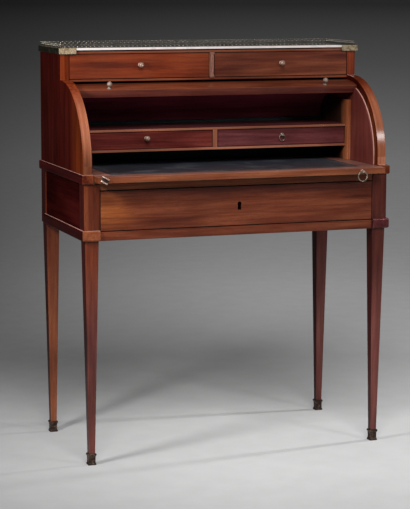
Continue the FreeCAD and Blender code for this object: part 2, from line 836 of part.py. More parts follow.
def pull_bracket(middle):
    """Two bars on a thin plate, tilted on the front edge of the slide."""
    length, height = S.bracket_length / 2, S.bracket_height / 2
    base = board("bracket_base", (-length, length), (-S.bracket_plate, ZERO), (-height, height))
    bar_y = (-S.bracket_depth, -S.bracket_plate)
    upper = board("bracket_upper", (-length, length), bar_y, (height - S.bracket_bar, height))
    lower = board("bracket_lower", (-length, length), bar_y, (-height, S.bracket_bar - height))
    bracket_x = S.bracket_inset - slide_half
    bracket = place(fuse("bracket", base, upper, lower), bracket_x, slide_front, middle)
    return tilt(bracket, FreeCAD.Vector(0, 1, 0), S.bracket_tilt)


def drawer_box(name, x, y, z, wall, floor):
    """Two sides, a back and a bottom as separate boards behind a drawer front."""
    left = board(f"{name}_left", (x[0], x[0] + wall), y, z)
    right = board(f"{name}_right", (x[1] - wall, x[1]), y, z)
    inside = (x[0] + wall, x[1] - wall)
    rear = board(f"{name}_rear", inside, (y[1] - wall, y[1]), z)
    bottom = board(f"{name}_bottom", inside, (y[0], y[1] - wall), (z[0], z[0] + floor))
    return group(f"{name}_group", left, right, rear, bottom)


def long_drawer():
    """The long drawer with its keyhole, lock and bolt."""
    reach = leg_inner - S.drawer_side_gap
    face_back = front + S.drawer_front_thickness
    face = board("long_front", (-reach, reach), (front, face_back), (drawer_bottom, drawer_top))
    keep(cut("long_front_pierced", face, keyhole()), "main_drawer_front")
    box_z = (rail_top + S.drawer_play, drawer_top - S.drawer_box_drop)
    box_y = (face_back, apron_inner - S.drawer_end_space)
    box = drawer_box("long_box", (-reach, reach), box_y, box_z, S.drawer_wall, S.drawer_floor)
    keep(box, "main_drawer_box")
    near, far = bolt_place()
    half = S.bolt_width / 2
    play = S.bolt_play
    case_z = (drawer_top - S.lock_height, drawer_top)
    case_x = (-S.lock_width / 2, S.lock_width / 2)
    case = board("lock_blank", case_x, (face_back, face_back + S.lock_depth), case_z)
    low = drawer_top - S.bolt_height
    way = board("lock_way", (-half - play, half + play), (near - play, far + play), (low - play, drawer_top))
    keep(cut("lock_case", case, way), "main_drawer_lock")
    keep(board("lock_bolt", (-half, half), (near, far), (low, drawer_top)), "main_drawer_bolt")


def keyhole():
    """A round head over a narrow slot, right through the drawer front."""
    middle = drawer_bottom + S.drawer_height / 2
    top_z = middle + S.keyhole_length / 2
    radius = S.keyhole_width / 2
    head_z = top_z - radius
    depth = S.drawer_front_thickness
    back_y = front + depth
    head = rod("keyhole_head", radius, depth, y=back_y, z=head_z, turn=TOWARDS_FRONT)
    half = S.keyhole_slot / 2
    slot = board("keyhole_slot_cut", (-half, half), (front, back_y), (top_z - S.keyhole_length, head_z))
    return fuse("keyhole", head, slot)


def frieze_drawers():
    """Two drawers in the frieze, each with a ball knob."""
    near = S.frieze_partition_width / 2 + S.drawer_side_gap
    far = side_inner - S.drawer_side_gap
    knob_z = frieze_drawer_top - S.frieze_knob_drop
    face_back = frieze_front + S.frieze_front_thickness
    for name, side in SIDES.items():
        x = span(side, near, far)
        face_z = (frieze_drawer_bottom, frieze_drawer_top)
        face = board(f"frieze_front_{name}", x, (frieze_front, face_back), face_z)
        keep(face, f"frieze_drawer_front_{name}")
        box_z = (frieze_rail_top + S.drawer_play, frieze_drawer_top - S.drawer_box_drop)
        box_y = (face_back, back_inner - S.drawer_end_space)
        box = drawer_box(f"frieze_box_{name}", x, box_y, box_z, S.small_wall, S.small_floor)
        keep(box, f"frieze_drawer_box_{name}")
        turned = place(knob(f"frieze_knob_{name}", ZERO), midway(x), frieze_front, knob_z)
        keep(turned, f"frieze_drawer_knob_{name}")


def inner_drawers():
    """Two small drawers inside: a knob on the left one, a ring on the right one."""
    near = S.inner_divider_width / 2 + S.inner_drawer_gap
    far = cheek_inner - S.inner_drawer_gap
    face_front = axis_y - S.shelf_ahead + S.inner_drawer_recess
    face_back = face_front + S.inner_front_thickness
    low = lower_shelf_top + S.drawer_play
    high = upper_shelf_bottom - S.inner_drawer_gap
    pull_z = lower_shelf_top + S.inner_pull_rise
    for name, side in SIDES.items():
        x = span(side, near, far)
        face = board(f"inner_front_{name}", x, (face_front, face_back), (low, high))
        keep(face, f"inner_drawer_front_{name}")
        box_y = (face_back, inside_back - S.inside_back_thickness - S.drawer_end_space)
        box_z = (low, high - S.drawer_box_drop)
        box = drawer_box(f"inner_box_{name}", x, box_y, box_z, S.small_wall, S.small_floor)
        keep(box, f"inner_drawer_box_{name}")
    pull_x = midway((near, far))
    turned = place(knob("inner_knob", ZERO), -pull_x, face_front, pull_z)
    keep(turned, "inner_drawer_knob")
    post, hole_y = pull_post("inner_pull", pull_x, face_front, pull_z, S.inner_pull_reach)
    keep(post, "inner_drawer_ring_post")
    hoop_z = pull_z - S.inner_ring_radius
    hoop = ring("inner_hoop", S.inner_ring_radius, S.inner_ring_wire, pull_x, hole_y, hoop_z)
    keep(hoop, "inner_drawer_ring")


def write_parts():
    """Checks every object and writes each sub-part to its own file."""
    doc.recompute()
    for obj in doc.Objects:
        if "Invalid" in obj.State or "Error" in obj.State:
            raise RuntimeError(f"{obj.Name} did not build: {obj.State}")
    for node in nodes:
        if node.Shape.isNull() or not node.Shape.isValid():
            raise RuntimeError(f"{node.Label} is not a valid shape")
    os.makedirs("parts", exist_ok=True)
    for node in nodes:
        node.Shape.exportStep(f"parts/{node.Label}.step")
    print(len(nodes), "sub-parts written")


legs_and_sabots()
drawer_case()
mouldings()
side_panels()
frieze()
top()
interior()
cylinder()
writing_slide()
long_drawer()
frieze_drawers()
inner_drawers()
write_parts()
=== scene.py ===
"""A lady's cylinder desk in mahogany with brass, marble and leather, in a plain studio.

Every piece is in metres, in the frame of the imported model: X to the right, Y to the back and Z up.
"""
import functools
import json
import logging
import math
from dataclasses import dataclass, replace
from enum import Enum
from typing import Any, Sequence

import bmesh
import bpy
from mathutils import Matrix, Vector


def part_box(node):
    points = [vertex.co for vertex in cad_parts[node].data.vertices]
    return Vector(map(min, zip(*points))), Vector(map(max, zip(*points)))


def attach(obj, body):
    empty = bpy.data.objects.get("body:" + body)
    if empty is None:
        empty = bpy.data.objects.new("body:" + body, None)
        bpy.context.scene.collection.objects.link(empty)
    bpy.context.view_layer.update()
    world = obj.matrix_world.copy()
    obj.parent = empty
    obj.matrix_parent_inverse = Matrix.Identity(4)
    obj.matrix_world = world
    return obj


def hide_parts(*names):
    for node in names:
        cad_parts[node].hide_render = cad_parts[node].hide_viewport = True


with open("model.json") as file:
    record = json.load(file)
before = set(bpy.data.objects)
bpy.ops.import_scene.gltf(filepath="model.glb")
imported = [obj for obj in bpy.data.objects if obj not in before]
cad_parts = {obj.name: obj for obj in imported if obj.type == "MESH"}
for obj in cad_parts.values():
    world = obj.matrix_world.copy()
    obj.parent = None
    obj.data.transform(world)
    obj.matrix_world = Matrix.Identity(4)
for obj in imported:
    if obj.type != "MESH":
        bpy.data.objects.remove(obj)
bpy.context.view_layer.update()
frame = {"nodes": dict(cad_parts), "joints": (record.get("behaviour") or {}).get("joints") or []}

MM = 0.001
SIDES = {"left": -1, "right": 1}

# Places on the desk
CYLINDER_AXIS = Vector(next(joint["pos_m"] for joint in frame["joints"] if joint["name"] == "cylinder_turn"))
FRIEZE_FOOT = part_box("frieze_rail_lower")[0].z
FOOT_OF_CURVE = (750 * MM, 860 * MM)
LEFT_TO_RIGHT = (-100 * MM, 100 * MM)

# How softly one finish passes into the next
FRIEZE_FADE = 75 * MM
HOLLOW_FADE = 20 * MM
HIGHLIGHT_FADE = 20 * MM
EDGE_FADE = 0.4 * MM

# The wood's figure, streaks, lines and pores: repeats per metre with the grain and across it, and shares
PATTERNS = ((2.2, 16.0), (5.0, 120.0), (26.0, 800.0), (90.0, 1500.0))
FIGURE_SHARE, STREAK_SHARE, LINE_SHARE, PORE_SHARE = 0.5, 0.36, 0.14, 0.45
RAGGED_PATCH = (9.0, 1.0, 40.0)
PORE_DEPTH = 0.12 * MM
RUBBED_REACH = 2.2 * MM

# The edges of packed and modelled pieces, and the smallest radius of a turned point
WELD_REACH = 0.005 * MM
FLAT_ANGLE = math.radians(0.3)
EDGE_ANGLE = math.radians(40)
SHARP_ANGLE = math.radians(38)
POINT_RADIUS = 0.02 * MM

Colour = tuple[float, float, float]
Place = tuple[float, float, float]
Profile = Sequence[tuple[float, float]]
Socket = bpy.types.NodeSocket
Material = bpy.types.Material
Form = bmesh.types.BMesh

log = logging.getLogger("cylinder_desk")


class Grain(Enum):
    """The way that the grain of a board runs."""

    ALONG_X = 0
    ALONG_Y = 1
    ALONG_Z = 2

    def stretch(self, along: float, across: float) -> tuple[float, ...]:
        """Gives a pattern's repeats per metre in X, Y and Z from those along and across the grain."""
        return tuple(along if axis == self.value else across for axis in range(3))


class Facing(Enum):
    """The way that the broad face of a board looks."""

    SIDEWAYS = 0
    FORWARD = 1
    UPWARD = 2


class NodeSheet:
    """A node tree, with short ways to add nodes and join them."""

    def __init__(self, tree: bpy.types.NodeTree) -> None:
        """Starts on a tree."""
        self.tree = tree

    def add(self, kind: str, **settings: Any) -> bpy.types.Node:
        """Adds a node.

        Args:
            kind: The node's type.
            **settings: Properties to set on it.

        Returns:
            The node.
        """
        node = self.tree.nodes.new(kind)
        for name, value in settings.items():
            setattr(node, name, value)
        return node

    def feed(self, socket: Socket, item: Any) -> None:
        """Joins a socket to another one, or sets it to a plain value.

        Args:
            socket: The input to feed.
            item: An output socket or a value.
        """
        if isinstance(item, Socket):
            self.tree.links.new(item, socket)
        else:
            socket.default_value = item

    def run(self, kind: str, items: Any, result: int | str = 0, **settings: Any) -> Socket:
        """Adds a node, feeds it and gives what comes out.

        Args:
            kind: The node's type.
            items: What its inputs get: a row in their order, or a dictionary by their names.
            result: The output to give.
            **settings: Properties to set on the node.

        Returns:
            The output.
        """
        node = self.add(kind, **settings)
        named = items if isinstance(items, dict) else dict(enumerate(items))
        for key, item in named.items():
            self.feed(node.inputs[key], item)
        return node.outputs[result]

    def maths(self, operation: str, *items: Any) -> Socket:
        """Works out a number from sockets or numbers."""
        return self.run("ShaderNodeMath", items, operation=operation)

    def times(self, first: Any, second: Any) -> Socket:
        """Multiplies two numbers."""
        return self.maths("MULTIPLY", first, second)

    def minus(self, first: Any, second: Any) -> Socket:
        """Takes the second number from the first."""
        return self.maths("SUBTRACT", first, second)

    def apart(self, first: Any, second: Any) -> Socket:
        """Gives how far two numbers lie apart."""
        return self.maths("ABSOLUTE", self.minus(first, second))

    def split(self, vector: Socket) -> list[Socket]:
        """Takes a vector apart.

        Args:
            vector: The vector.

        Returns:
            Its X, Y and Z.
        """
        node = self.add("ShaderNodeSeparateXYZ")
        self.feed(node.inputs[0], vector)
        return list(node.outputs)

    def joined(self, *items: Any) -> Socket:
        """Makes a vector of X, Y and Z."""
        return self.run("ShaderNodeCombineXYZ", items)

    def distance(self, first: Socket, second: Place) -> Socket:
        """Gives how far two places lie apart."""
        return self.run("ShaderNodeVectorMath", (first, second), "Value", operation="DISTANCE")

    def scaled(self, vector: Socket, scale: Sequence[float]) -> Socket:
        """Stretches a place by factors in X, Y and Z."""
        return self.run("ShaderNodeMapping", {"Vector": vector, "Scale": scale}, "Vector")

    def band(self, item: Socket, low: float, high: float, start: float = 0.0, end: float = 1.0) -> Socket:
        """Eases from start to end as an item passes from low to high."""
        items = (item, low, high, start, end)
        return self.run("ShaderNodeMapRange", items, interpolation_type="SMOOTHSTEP")


class PaintSheet(NodeSheet):
    """The node tree of a material, which ends in one principled surface and knows the desk's form.

    Attributes:
        material: The material.
        surface: The node that it ends in.
        place: The place on the object, in metres.
        along: That place's X, Y and Z.
        facing: The X, Y and Z of the way that the object's own surface faces.
    """

    def __init__(self, name: str) -> None:
        """Starts the material.

        Args:
            name: The material's name.
        """
        self.material = bpy.data.materials.new(name)
        self.material.use_nodes = True
        super().__init__(self.material.node_tree)
        self.tree.nodes.clear()
        self.surface = self.add("ShaderNodeBsdfPrincipled")
        output = self.add("ShaderNodeOutputMaterial")
        self.feed(output.inputs["Surface"], self.surface.outputs["BSDF"])
        own = self.add("ShaderNodeTexCoord")
        self.place = own.outputs["Object"]
        self.along = self.split(self.place)
        self.facing = self.split(own.outputs["Normal"])

    def set(self, **items: Any) -> None:
        """Feeds inputs of the surface, named with underscores for spaces."""
        for name, item in items.items():
            self.feed(self.surface.inputs[name.replace("_", " ")], item)

    def noise(
        self, vector: Socket, scale: float = 1.0, detail: float = 3.0, distortion: float = 0.0
    ) -> Socket:
        """Adds noise from 0 to 1, by clouds per unit of place, octaves of detail and distortion."""
        items = {"Vector": vector, "Scale": scale, "Detail": detail, "Distortion": distortion}
        return self.run("ShaderNodeTexNoise", items, "Fac")

    def cells(self, scale: float) -> Socket:
        """Adds small cells, as in the grain of leather, and gives the distance from a cell's middle."""
        return self.run("ShaderNodeTexVoronoi", {"Vector": self.place, "Scale": scale}, "Distance")

    def ramp(self, factor: Socket, *stops: tuple[float, Colour]) -> Socket:
        """Runs through colours.

        Args:
            factor: Where to read the ramp.
            *stops: Places from 0 to 1 and their colours.

        Returns:
            The colour.
        """
        node = self.add("ShaderNodeValToRGB")
        elements = node.color_ramp.elements
        while len(elements) < len(stops):
            elements.new(0.5)
        for element, (place, colour) in zip(elements, stops):
            element.position = place
            element.color = (*colour, 1.0)
        self.feed(node.inputs[0], factor)
        return node.outputs["Color"]

    def mixed(self, factor: Any, first: Any, second: Any, mode: str = "MIX") -> Socket:
        """Mixes two colours.

        Args:
            factor: The share of the second colour.
            first: The first colour.
            second: The second colour.
            mode: How they mix.

        Returns:
            The mixed colour.
        """
        node = self.add("ShaderNodeMix", data_type="RGBA", blend_type=mode)
        inputs = [socket for socket in node.inputs if socket.enabled]
        for socket, item in zip(inputs, (factor, first, second)):
            plain = isinstance(item, tuple) and len(item) == 3
            self.feed(socket, (*item, 1.0) if plain else item)
        return next(socket for socket in node.outputs if socket.enabled)

    def shaded(self, colour: Socket, shade: Socket) -> Socket:
        """Makes a colour darker or lighter by a number."""
        return self.mixed(1.0, colour, self.joined(shade, shade, shade), "MULTIPLY")

    def rubbed_edge(self, radius: float) -> Socket:
        """Finds the edges that hands and cloths have rubbed.

        Args:
            radius: How far the rubbing reaches from an edge, in metres.

        Returns:
            A number that rises from 0 on the flat to 1 on an edge.
        """
        soft = self.run("ShaderNodeBevel", {"Radius": radius}, "Normal", samples=6)
        flat = self.run("ShaderNodeNewGeometry", (), "True Normal")
        likeness = self.run("ShaderNodeVectorMath", (soft, flat), "Value", operation="DOT_PRODUCT")
        return self.band(likeness, 0.995, 0.86)

    def relief(self, height: Socket, distance: float, strength: float = 1.0) -> None:
        """Raises the surface by a height, where 1 is a distance in metres, and by how much of it shows."""
        items = {"Height": height, "Distance": distance, "Strength": strength}
        self.set(Normal=self.run("ShaderNodeBump", items, "Normal"))

    def beside_frieze(self) -> Socket:
        """Gives 0 on the lower part of the panels' curved edges, and 1 beside the frieze."""
        return self.band(self.along[2], FRIEZE_FOOT - FRIEZE_FADE, FRIEZE_FOOT)

    def patch(self, middle: Place, reach: float = 140 * MM, squeeze: float = 1.6) -> Socket:
        """Makes a soft ragged patch in a board's figure.

        Args:
            middle: The middle of the patch.
            reach: How far it reaches along the board, in metres.
            squeeze: How much less high than long it is.

        Returns:
            A number that falls from 1 in the patch to 0 outside it.
        """
        centre = (middle[0], 0.0, middle[2] * squeeze)
        away = self.distance(self.scaled(self.place, (1.0, 0.0, squeeze)), centre)
        ragged = self.times(self.noise(self.scaled(self.place, RAGGED_PATCH)), reach)
        return self.band(self.maths("ADD", away, ragged), reach * 1.35, reach * 0.5)

    def inset(self, board: str, axes: tuple[int, int] = (0, 2)) -> Socket:
        """Measures how far a place on a board's face lies from the nearest edge of that face.

        Args:
            board: The board's node.
            axes: The axes along which the face extends.

        Returns:
            The distance in metres.
        """
        low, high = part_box(board)
        depths = []
        for axis in axes:
            away = self.apart(self.along[axis], (low[axis] + high[axis]) / 2)
            depths.append(self.minus((high[axis] - low[axis]) / 2, away))
        return self.maths("MINIMUM", *depths)

    def turned_in(self) -> Socket:
        """Finds the faces that look in to the cylinder's axis.

        Returns:
            A number that is 1 on those faces and 0 on the others.
        """
        outward = self.times(self.facing[1], self.minus(self.along[1], CYLINDER_AXIS.y))
        above = self.minus(self.along[2], CYLINDER_AXIS.z)
        outward = self.maths("MULTIPLY_ADD", self.facing[2], above, outward)
        return self.band(outward, HOLLOW_FADE, -HOLLOW_FADE)

    def curved_place(self) -> Socket:
        """Unrolls the cylinder's curve, so that grain can follow it, up to the straight frieze above it.

        Returns:
            The place as X, the distance from the axis and the way along the curve.
        """
        x, y, z = self.along
        ahead = self.minus(y, CYLINDER_AXIS.y)
        above = self.minus(z, CYLINDER_AXIS.z)
        squares = self.maths("ADD", self.maths("POWER", ahead, 2.0), self.maths("POWER", above, 2.0))
        way = self.times(self.maths("ARCTAN2", above, ahead), FRIEZE_FOOT - CYLINDER_AXIS.z)
        curved = self.joined(x, self.maths("SQRT", squares), way)
        return self.mixed(self.maths("GREATER_THAN", z, FRIEZE_FOOT), curved, self.joined(x, y, z))


@dataclass(frozen=True)
class Tone:
    """The colours of one cut of wood, from its dark streaks to its light ones."""

    deep: Colour
    middle: Colour
    light: Colour


@dataclass(frozen=True)
class Wood:
    """Polished wood with figure, streaks, pores and rubbed edges.

    Attributes:
        name: The material's name.
        tone: The colours of the board's face.
        grain: The way that the grain runs.
        polish: How much clear polish lies on the wood.
        gloss: The roughness of that polish.
        sheen: How strongly the wood itself shines.
        roughness: The roughness of the wood under the polish.
        wear: How far the edges are rubbed.
        rubbed: How much lighter than the wood a rubbed edge is.
        painted_highlight: The colour of a painted highlight line along rounded upper edges.
        painted_highlight_end: How far to the right those painted highlight lines go, in metres.
        edge_tone: The colours of a board's narrow edges, where they differ from its face.
        edge_start: How far from the desk's middle those edges take on their colours, in metres.
        right_tone: The colours of those edges on the desk's right.
        edge_polish: How much clear polish lies on those edges.
        post_tone: The colours of those edges beside the frieze.
        foot_shade: How much darker those edges are at the foot of the cylinder's curve, as painted shade.
        face: The way that the board's face looks.
        bent: Whether the grain of those edges follows the cylinder's curve.
        turned_in_shade: The colours painted as shade on the side that looks in to the cylinder's axis.
        near_tone: The colours that the board's face takes on towards the front, or towards its foot.
        near_axis: The axis along which they change.
        near_reach: Where on that axis the change starts and ends, in metres.
        flare: The middle of a bright patch in the figure.
        flare_tone: The colours of that patch.
        gap_shade_of: The drawer front along whose edge the shade of the gap is painted.
        gap_shade_width: How far in from the edge that painted shade reaches, in metres.
    """

    name: str
    tone: Tone
    grain: Grain
    polish: float = 0.2
    gloss: float = 0.12
    sheen: float = 0.15
    roughness: float = 0.4
    wear: float = 0.6
    rubbed: Colour = (1.9, 1.75, 1.6)
    painted_highlight: Colour | None = None
    painted_highlight_end: float = 1.0
    edge_tone: Tone | None = None
    edge_start: float = 0.0
    right_tone: Tone | None = None
    edge_polish: float = 0.2
    post_tone: Tone | None = None
    foot_shade: float = 1.0
    face: Facing = Facing.SIDEWAYS
    bent: bool = False
    turned_in_shade: Tone | None = None
    near_tone: Tone | None = None
    near_axis: int = 1
    near_reach: tuple[float, float] = (-175 * MM, -20 * MM)
    flare: Place | None = None
    flare_tone: Tone | None = None
    gap_shade_of: str | None = None
    gap_shade_width: float = 1.8 * MM

    def build(self) -> Material:
        """Makes the material.

        Returns:
            The material.
        """
        sheet = PaintSheet(self.name)
        polish = self.polish
        colour, pores = self.boards(sheet, self.tone)
        if self.near_tone:
            beyond = sheet.band(sheet.along[self.near_axis], *self.near_reach)
            colour = sheet.mixed(beyond, self.boards(sheet, self.near_tone)[0], colour)
        if self.flare and self.flare_tone:
            colour = sheet.mixed(sheet.patch(self.flare), colour, self.boards(sheet, self.flare_tone)[0])
        if self.edge_tone:
            on_face = sheet.band(sheet.maths("ABSOLUTE", sheet.facing[self.face.value]), 0.4, 0.6)
            if self.edge_start:
                aside = sheet.maths("ABSOLUTE", sheet.along[0])
                near = sheet.band(aside, self.edge_start + EDGE_FADE, self.edge_start - EDGE_FADE)
                on_face = sheet.maths("MAXIMUM", on_face, near)
            colour = sheet.mixed(on_face, self.edges(sheet), colour)
            extra = self.polish - self.edge_polish
            if extra:
                polish = sheet.maths("MULTIPLY_ADD", on_face, extra, self.edge_polish)
        # Paints shade on the side that looks in to the cylinder's axis.
        if self.turned_in_shade:
            colour = sheet.mixed(sheet.turned_in(), colour, self.boards(sheet, self.turned_in_shade)[0])
        patches = sheet.band(sheet.noise(sheet.place, 26.0), 0.3, 0.75)
        rubbing = sheet.times(sheet.rubbed_edge(RUBBED_REACH), patches)
        worn = sheet.mixed(1.0, colour, self.rubbed, "MULTIPLY")
        colour = sheet.mixed(sheet.times(rubbing, self.wear), colour, worn)
        # Paints highlight lines along rounded upper edges.
        if self.painted_highlight:
            colour = sheet.mixed(self.painted_highlight_lines(sheet), colour, self.painted_highlight)
        # Paints the shade of the gap along the edge of a drawer front.
        if self.gap_shade_of:
            gap_shade_mask = sheet.band(sheet.inset(self.gap_shade_of), self.gap_shade_width, self.gap_shade_width / 2)
            colour = sheet.mixed(gap_shade_mask, colour, GAP_SHADE.middle)
        smears = sheet.noise(sheet.place, 9.0, 4.0, 0.6)
        roughness = sheet.band(smears, 0.25, 0.8, self.roughness - 0.08, self.roughness + 0.12)
        roughness = sheet.maths("MULTIPLY_ADD", rubbing, 0.15, roughness)
        sheet.set(Base_Color=colour, Roughness=roughness)
        sheet.set(Coat_Weight=polish, Coat_Roughness=self.gloss, Specular_IOR_Level=self.sheen)
        sheet.relief(pores, PORE_DEPTH, 0.5)
        return sheet.material

    def edges(self, sheet: PaintSheet) -> Socket:
        """Colours the board's narrow edges.

        Args:
            sheet: The material to add to.

        Returns:
            The colour.
        """
        along = sheet.curved_place() if self.bent else sheet.place
        colour = self.boards(sheet, self.edge_tone, along, Grain.ALONG_Z if self.bent else self.grain)[0]
        if self.post_tone:
            post = self.boards(sheet, self.post_tone, sheet.place, Grain.ALONG_Z)[0]
            colour = sheet.mixed(sheet.beside_frieze(), colour, post)
        if self.foot_shade < 1.0:
            colour = sheet.shaded(colour, sheet.band(sheet.along[2], *FOOT_OF_CURVE, self.foot_shade, 1.0))
        if self.right_tone:
            right = sheet.band(sheet.along[0], *LEFT_TO_RIGHT)
            colour = sheet.mixed(right, colour, self.boards(sheet, self.right_tone)[0])
        return colour

    def painted_highlight_lines(self, sheet: PaintSheet) -> Socket:
        """Finds the rounded upper edges that get a painted highlight line.

        Args:
            sheet: The material to add to.

        Returns:
            A number that is highest on those lines and 0 beside them.
        """
        upward = sheet.facing[2]
        line = sheet.times(sheet.band(upward, 0.8, 0.92), sheet.band(upward, 0.9995, 0.985))
        broken = sheet.band(sheet.noise(sheet.place, 40.0, 4.0), 0.25, 0.55, 0.45, 0.95)
        short = sheet.band(sheet.along[0], self.painted_highlight_end + HIGHLIGHT_FADE, self.painted_highlight_end)
        return sheet.times(sheet.times(line, broken), short)

    def boards(
        self, sheet: PaintSheet, tone: Tone, place: Socket | None = None, grain: Grain | None = None
    ) -> tuple[Socket, Socket]:
        """Lays out the figure of a board.

        Args:
            sheet: The material to add to.
            tone: The board's colours.
            place: The place on the board, if it isn't the object's own.
            grain: The way that its grain runs, if it isn't the wood's own.

        Returns:
            The colour, and the height of the open pores.
        """
        place = sheet.place if place is None else place
        grain = grain or self.grain
        figure, streaks, lines, pores = (sheet.scaled(place, grain.stretch(*rates)) for rates in PATTERNS)
        figure = sheet.noise(figure, detail=5.0, distortion=1.1)
        streaks = sheet.noise(streaks, detail=4.0, distortion=0.4)
        mixed = sheet.maths("MULTIPLY_ADD", figure, FIGURE_SHARE, sheet.times(streaks, STREAK_SHARE))
        mixed = sheet.maths("MULTIPLY_ADD", sheet.noise(lines, detail=2.0), LINE_SHARE, mixed)
        colour = sheet.ramp(mixed, (0.38, tone.deep), (0.5, tone.middle), (0.63, tone.light))
        pores = sheet.band(sheet.noise(pores, detail=1.0), 0.56, 0.7)
        colour = sheet.mixed(sheet.times(pores, PORE_SHARE), colour, tone.deep)
        cloud = sheet.band(sheet.noise(place, 5.0, 2.0), 0.3, 0.7, 0.82, 1.12)
        return sheet.shaded(colour, cloud), sheet.minus(1.0, pores)


@dataclass(frozen=True)
class Metal:
    """Old metal with a dull skin that hands have rubbed bright on the edges.

    Attributes:
        name: The material's name.
        bright: The colour of the rubbed metal.
        dull: The colour of its skin.
        skin: How much of the metal the skin covers.
        roughness: The roughness of the rubbed metal.
        reach: How far the rubbing reaches from an edge, in metres.
        chasing: The depth of the small cells that are chased into it, in metres.
        side_shade: The colour painted as shade on faces that look sideways.
        right_shade: How much darker the metal is on the desk's right.
    """

    name: str
    bright: Colour
    dull: Colour
    skin: float = 0.5
    roughness: float = 0.24
    reach: float = 0.8 * MM
    chasing: float = 0.0
    side_shade: Colour | None = None
    right_shade: float = 1.0

    def build(self) -> Material:
        """Makes the material.

        Returns:
            The material.
        """
        sheet = PaintSheet(self.name)
        blotches = sheet.noise(sheet.place, 90.0, 4.0, 0.8)
        specks = sheet.noise(sheet.place, 700.0, 3.0)
        both = sheet.maths("MULTIPLY_ADD", specks, 0.35, sheet.times(blotches, 0.65))
        cover = self.skin * 0.35
        bare = sheet.minus(1.0, sheet.times(sheet.rubbed_edge(self.reach), 0.75))
        skin = sheet.times(sheet.band(both, 0.62 - cover, 0.78 - cover), bare)
        colour = sheet.mixed(skin, self.bright, self.dull)
        # Paints shade on faces that look sideways.
        if self.side_shade:
            sideways = sheet.maths("ABSOLUTE", sheet.facing[0])
            colour = sheet.mixed(sheet.band(sideways, 0.5, 0.8), colour, self.side_shade)
        if self.right_shade < 1.0:
            colour = sheet.shaded(colour, sheet.band(sheet.along[0], *LEFT_TO_RIGHT, 1.0, self.right_shade))
        sheet.set(Base_Color=colour, Metallic=1.0)
        roughness = sheet.maths("MULTIPLY_ADD", skin, 0.26, self.roughness)
        sheet.set(Roughness=sheet.maths("MULTIPLY_ADD", specks, 0.08, roughness))
        if self.chasing:
            sheet.relief(sheet.cells(420.0), self.chasing)
        else:
            sheet.relief(both, 0.08 * MM, 0.4)
        return sheet.material


@dataclass(frozen=True)
class Marble:
    """White marble with soft grey veins under a worn polish, and painted shade on its upper face.

    Attributes:
        name: The material's name.
        ground: The colour of the stone.
        vein: The colour of its veins.
        top_shade: The colour painted as shade on its upper face.
    """

    name: str
    ground: Colour
    vein: Colour
    top_shade: Colour

    def build(self) -> Material:
        """Makes the material.

        Returns:
            The material.
        """
        sheet = PaintSheet(self.name)
        place = sheet.place
        wander = sheet.noise(place, 5.0, 6.0, 1.6)
        veins = sheet.times(sheet.band(sheet.apart(wander, 0.5), 0.05, 0.0), 0.5)
        hair = sheet.apart(sheet.noise(place, 19.0, 5.0, 2.2), 0.5)
        hairs = sheet.times(sheet.band(hair, 0.02, 0.0), 0.35)
        cloud = sheet.times(sheet.band(sheet.noise(place, 8.0, 3.0), 0.4, 0.75), 0.3)
        grey = sheet.maths("MAXIMUM", veins, sheet.maths("MAXIMUM", hairs, cloud))
        # Paints shade on the upper face, in patches.
        shaded_top = sheet.times(sheet.band(sheet.facing[2], 0.5, 0.95), sheet.band(wander, 0.2, 0.8, 0.8, 1.0))
        stone = sheet.mixed(shaded_top, self.ground, self.top_shade)
        sheet.set(Base_Color=sheet.mixed(grey, stone, self.vein), Subsurface_Weight=0.06)
        sheet.set(Roughness=sheet.band(sheet.noise(place, 40.0, 3.0), 0.3, 0.7, 0.03, 0.09))
        sheet.relief(sheet.noise(place, 160.0, 2.0), 0.01 * MM, 0.2)
        return sheet.material


@dataclass(frozen=True)
class Leather:
    """A leather writing surface with tooled lines near its border.

    Attributes:
        name: The material's name.
        hide: The colour of the hide.
        scuff: The colour where it is rubbed.
        gilt: The colour of the worn gilding in the tooled lines.
        border: How far the outer line lies from the leather's edge, in metres.
        line: Half the width of a line, in metres.
    """

    name: str
    hide: Colour
    scuff: Colour
    gilt: Colour
    border: float = 13 * MM
    line: float = 0.6 * MM

    def build(self) -> Material:
        """Makes the material.

        Returns:
            The material.
        """
        sheet = PaintSheet(self.name)
        place = sheet.place
        inside = sheet.inset("slide_leather", (0, 1))
        lines = None
        for distance in (self.border, self.border + 4.5 * self.line, self.border + 18 * self.line):
            stripe = sheet.band(sheet.apart(inside, distance), self.line * 1.3, self.line * 0.7)
            lines = stripe if lines is None else sheet.maths("MAXIMUM", lines, stripe)
        wear = sheet.band(sheet.noise(place, 16.0, 5.0, 0.8), 0.46, 0.7)
        gilding = sheet.times(lines, sheet.band(sheet.noise(place, 60.0, 4.0), 0.35, 0.6))
        hide = sheet.mixed(wear, self.hide, self.scuff)
        sheet.set(Base_Color=sheet.mixed(gilding, hide, self.gilt))
        sheet.set(Roughness=sheet.maths("MULTIPLY_ADD", wear, 0.14, 0.44), Specular_IOR_Level=0.45)
        grain = sheet.maths("MULTIPLY_ADD", sheet.cells(620.0), 0.6, sheet.noise(place, 300.0, 3.0))
        sheet.relief(sheet.minus(grain, sheet.times(lines, 1.5)), 0.16 * MM, 0.55)
        return sheet.material


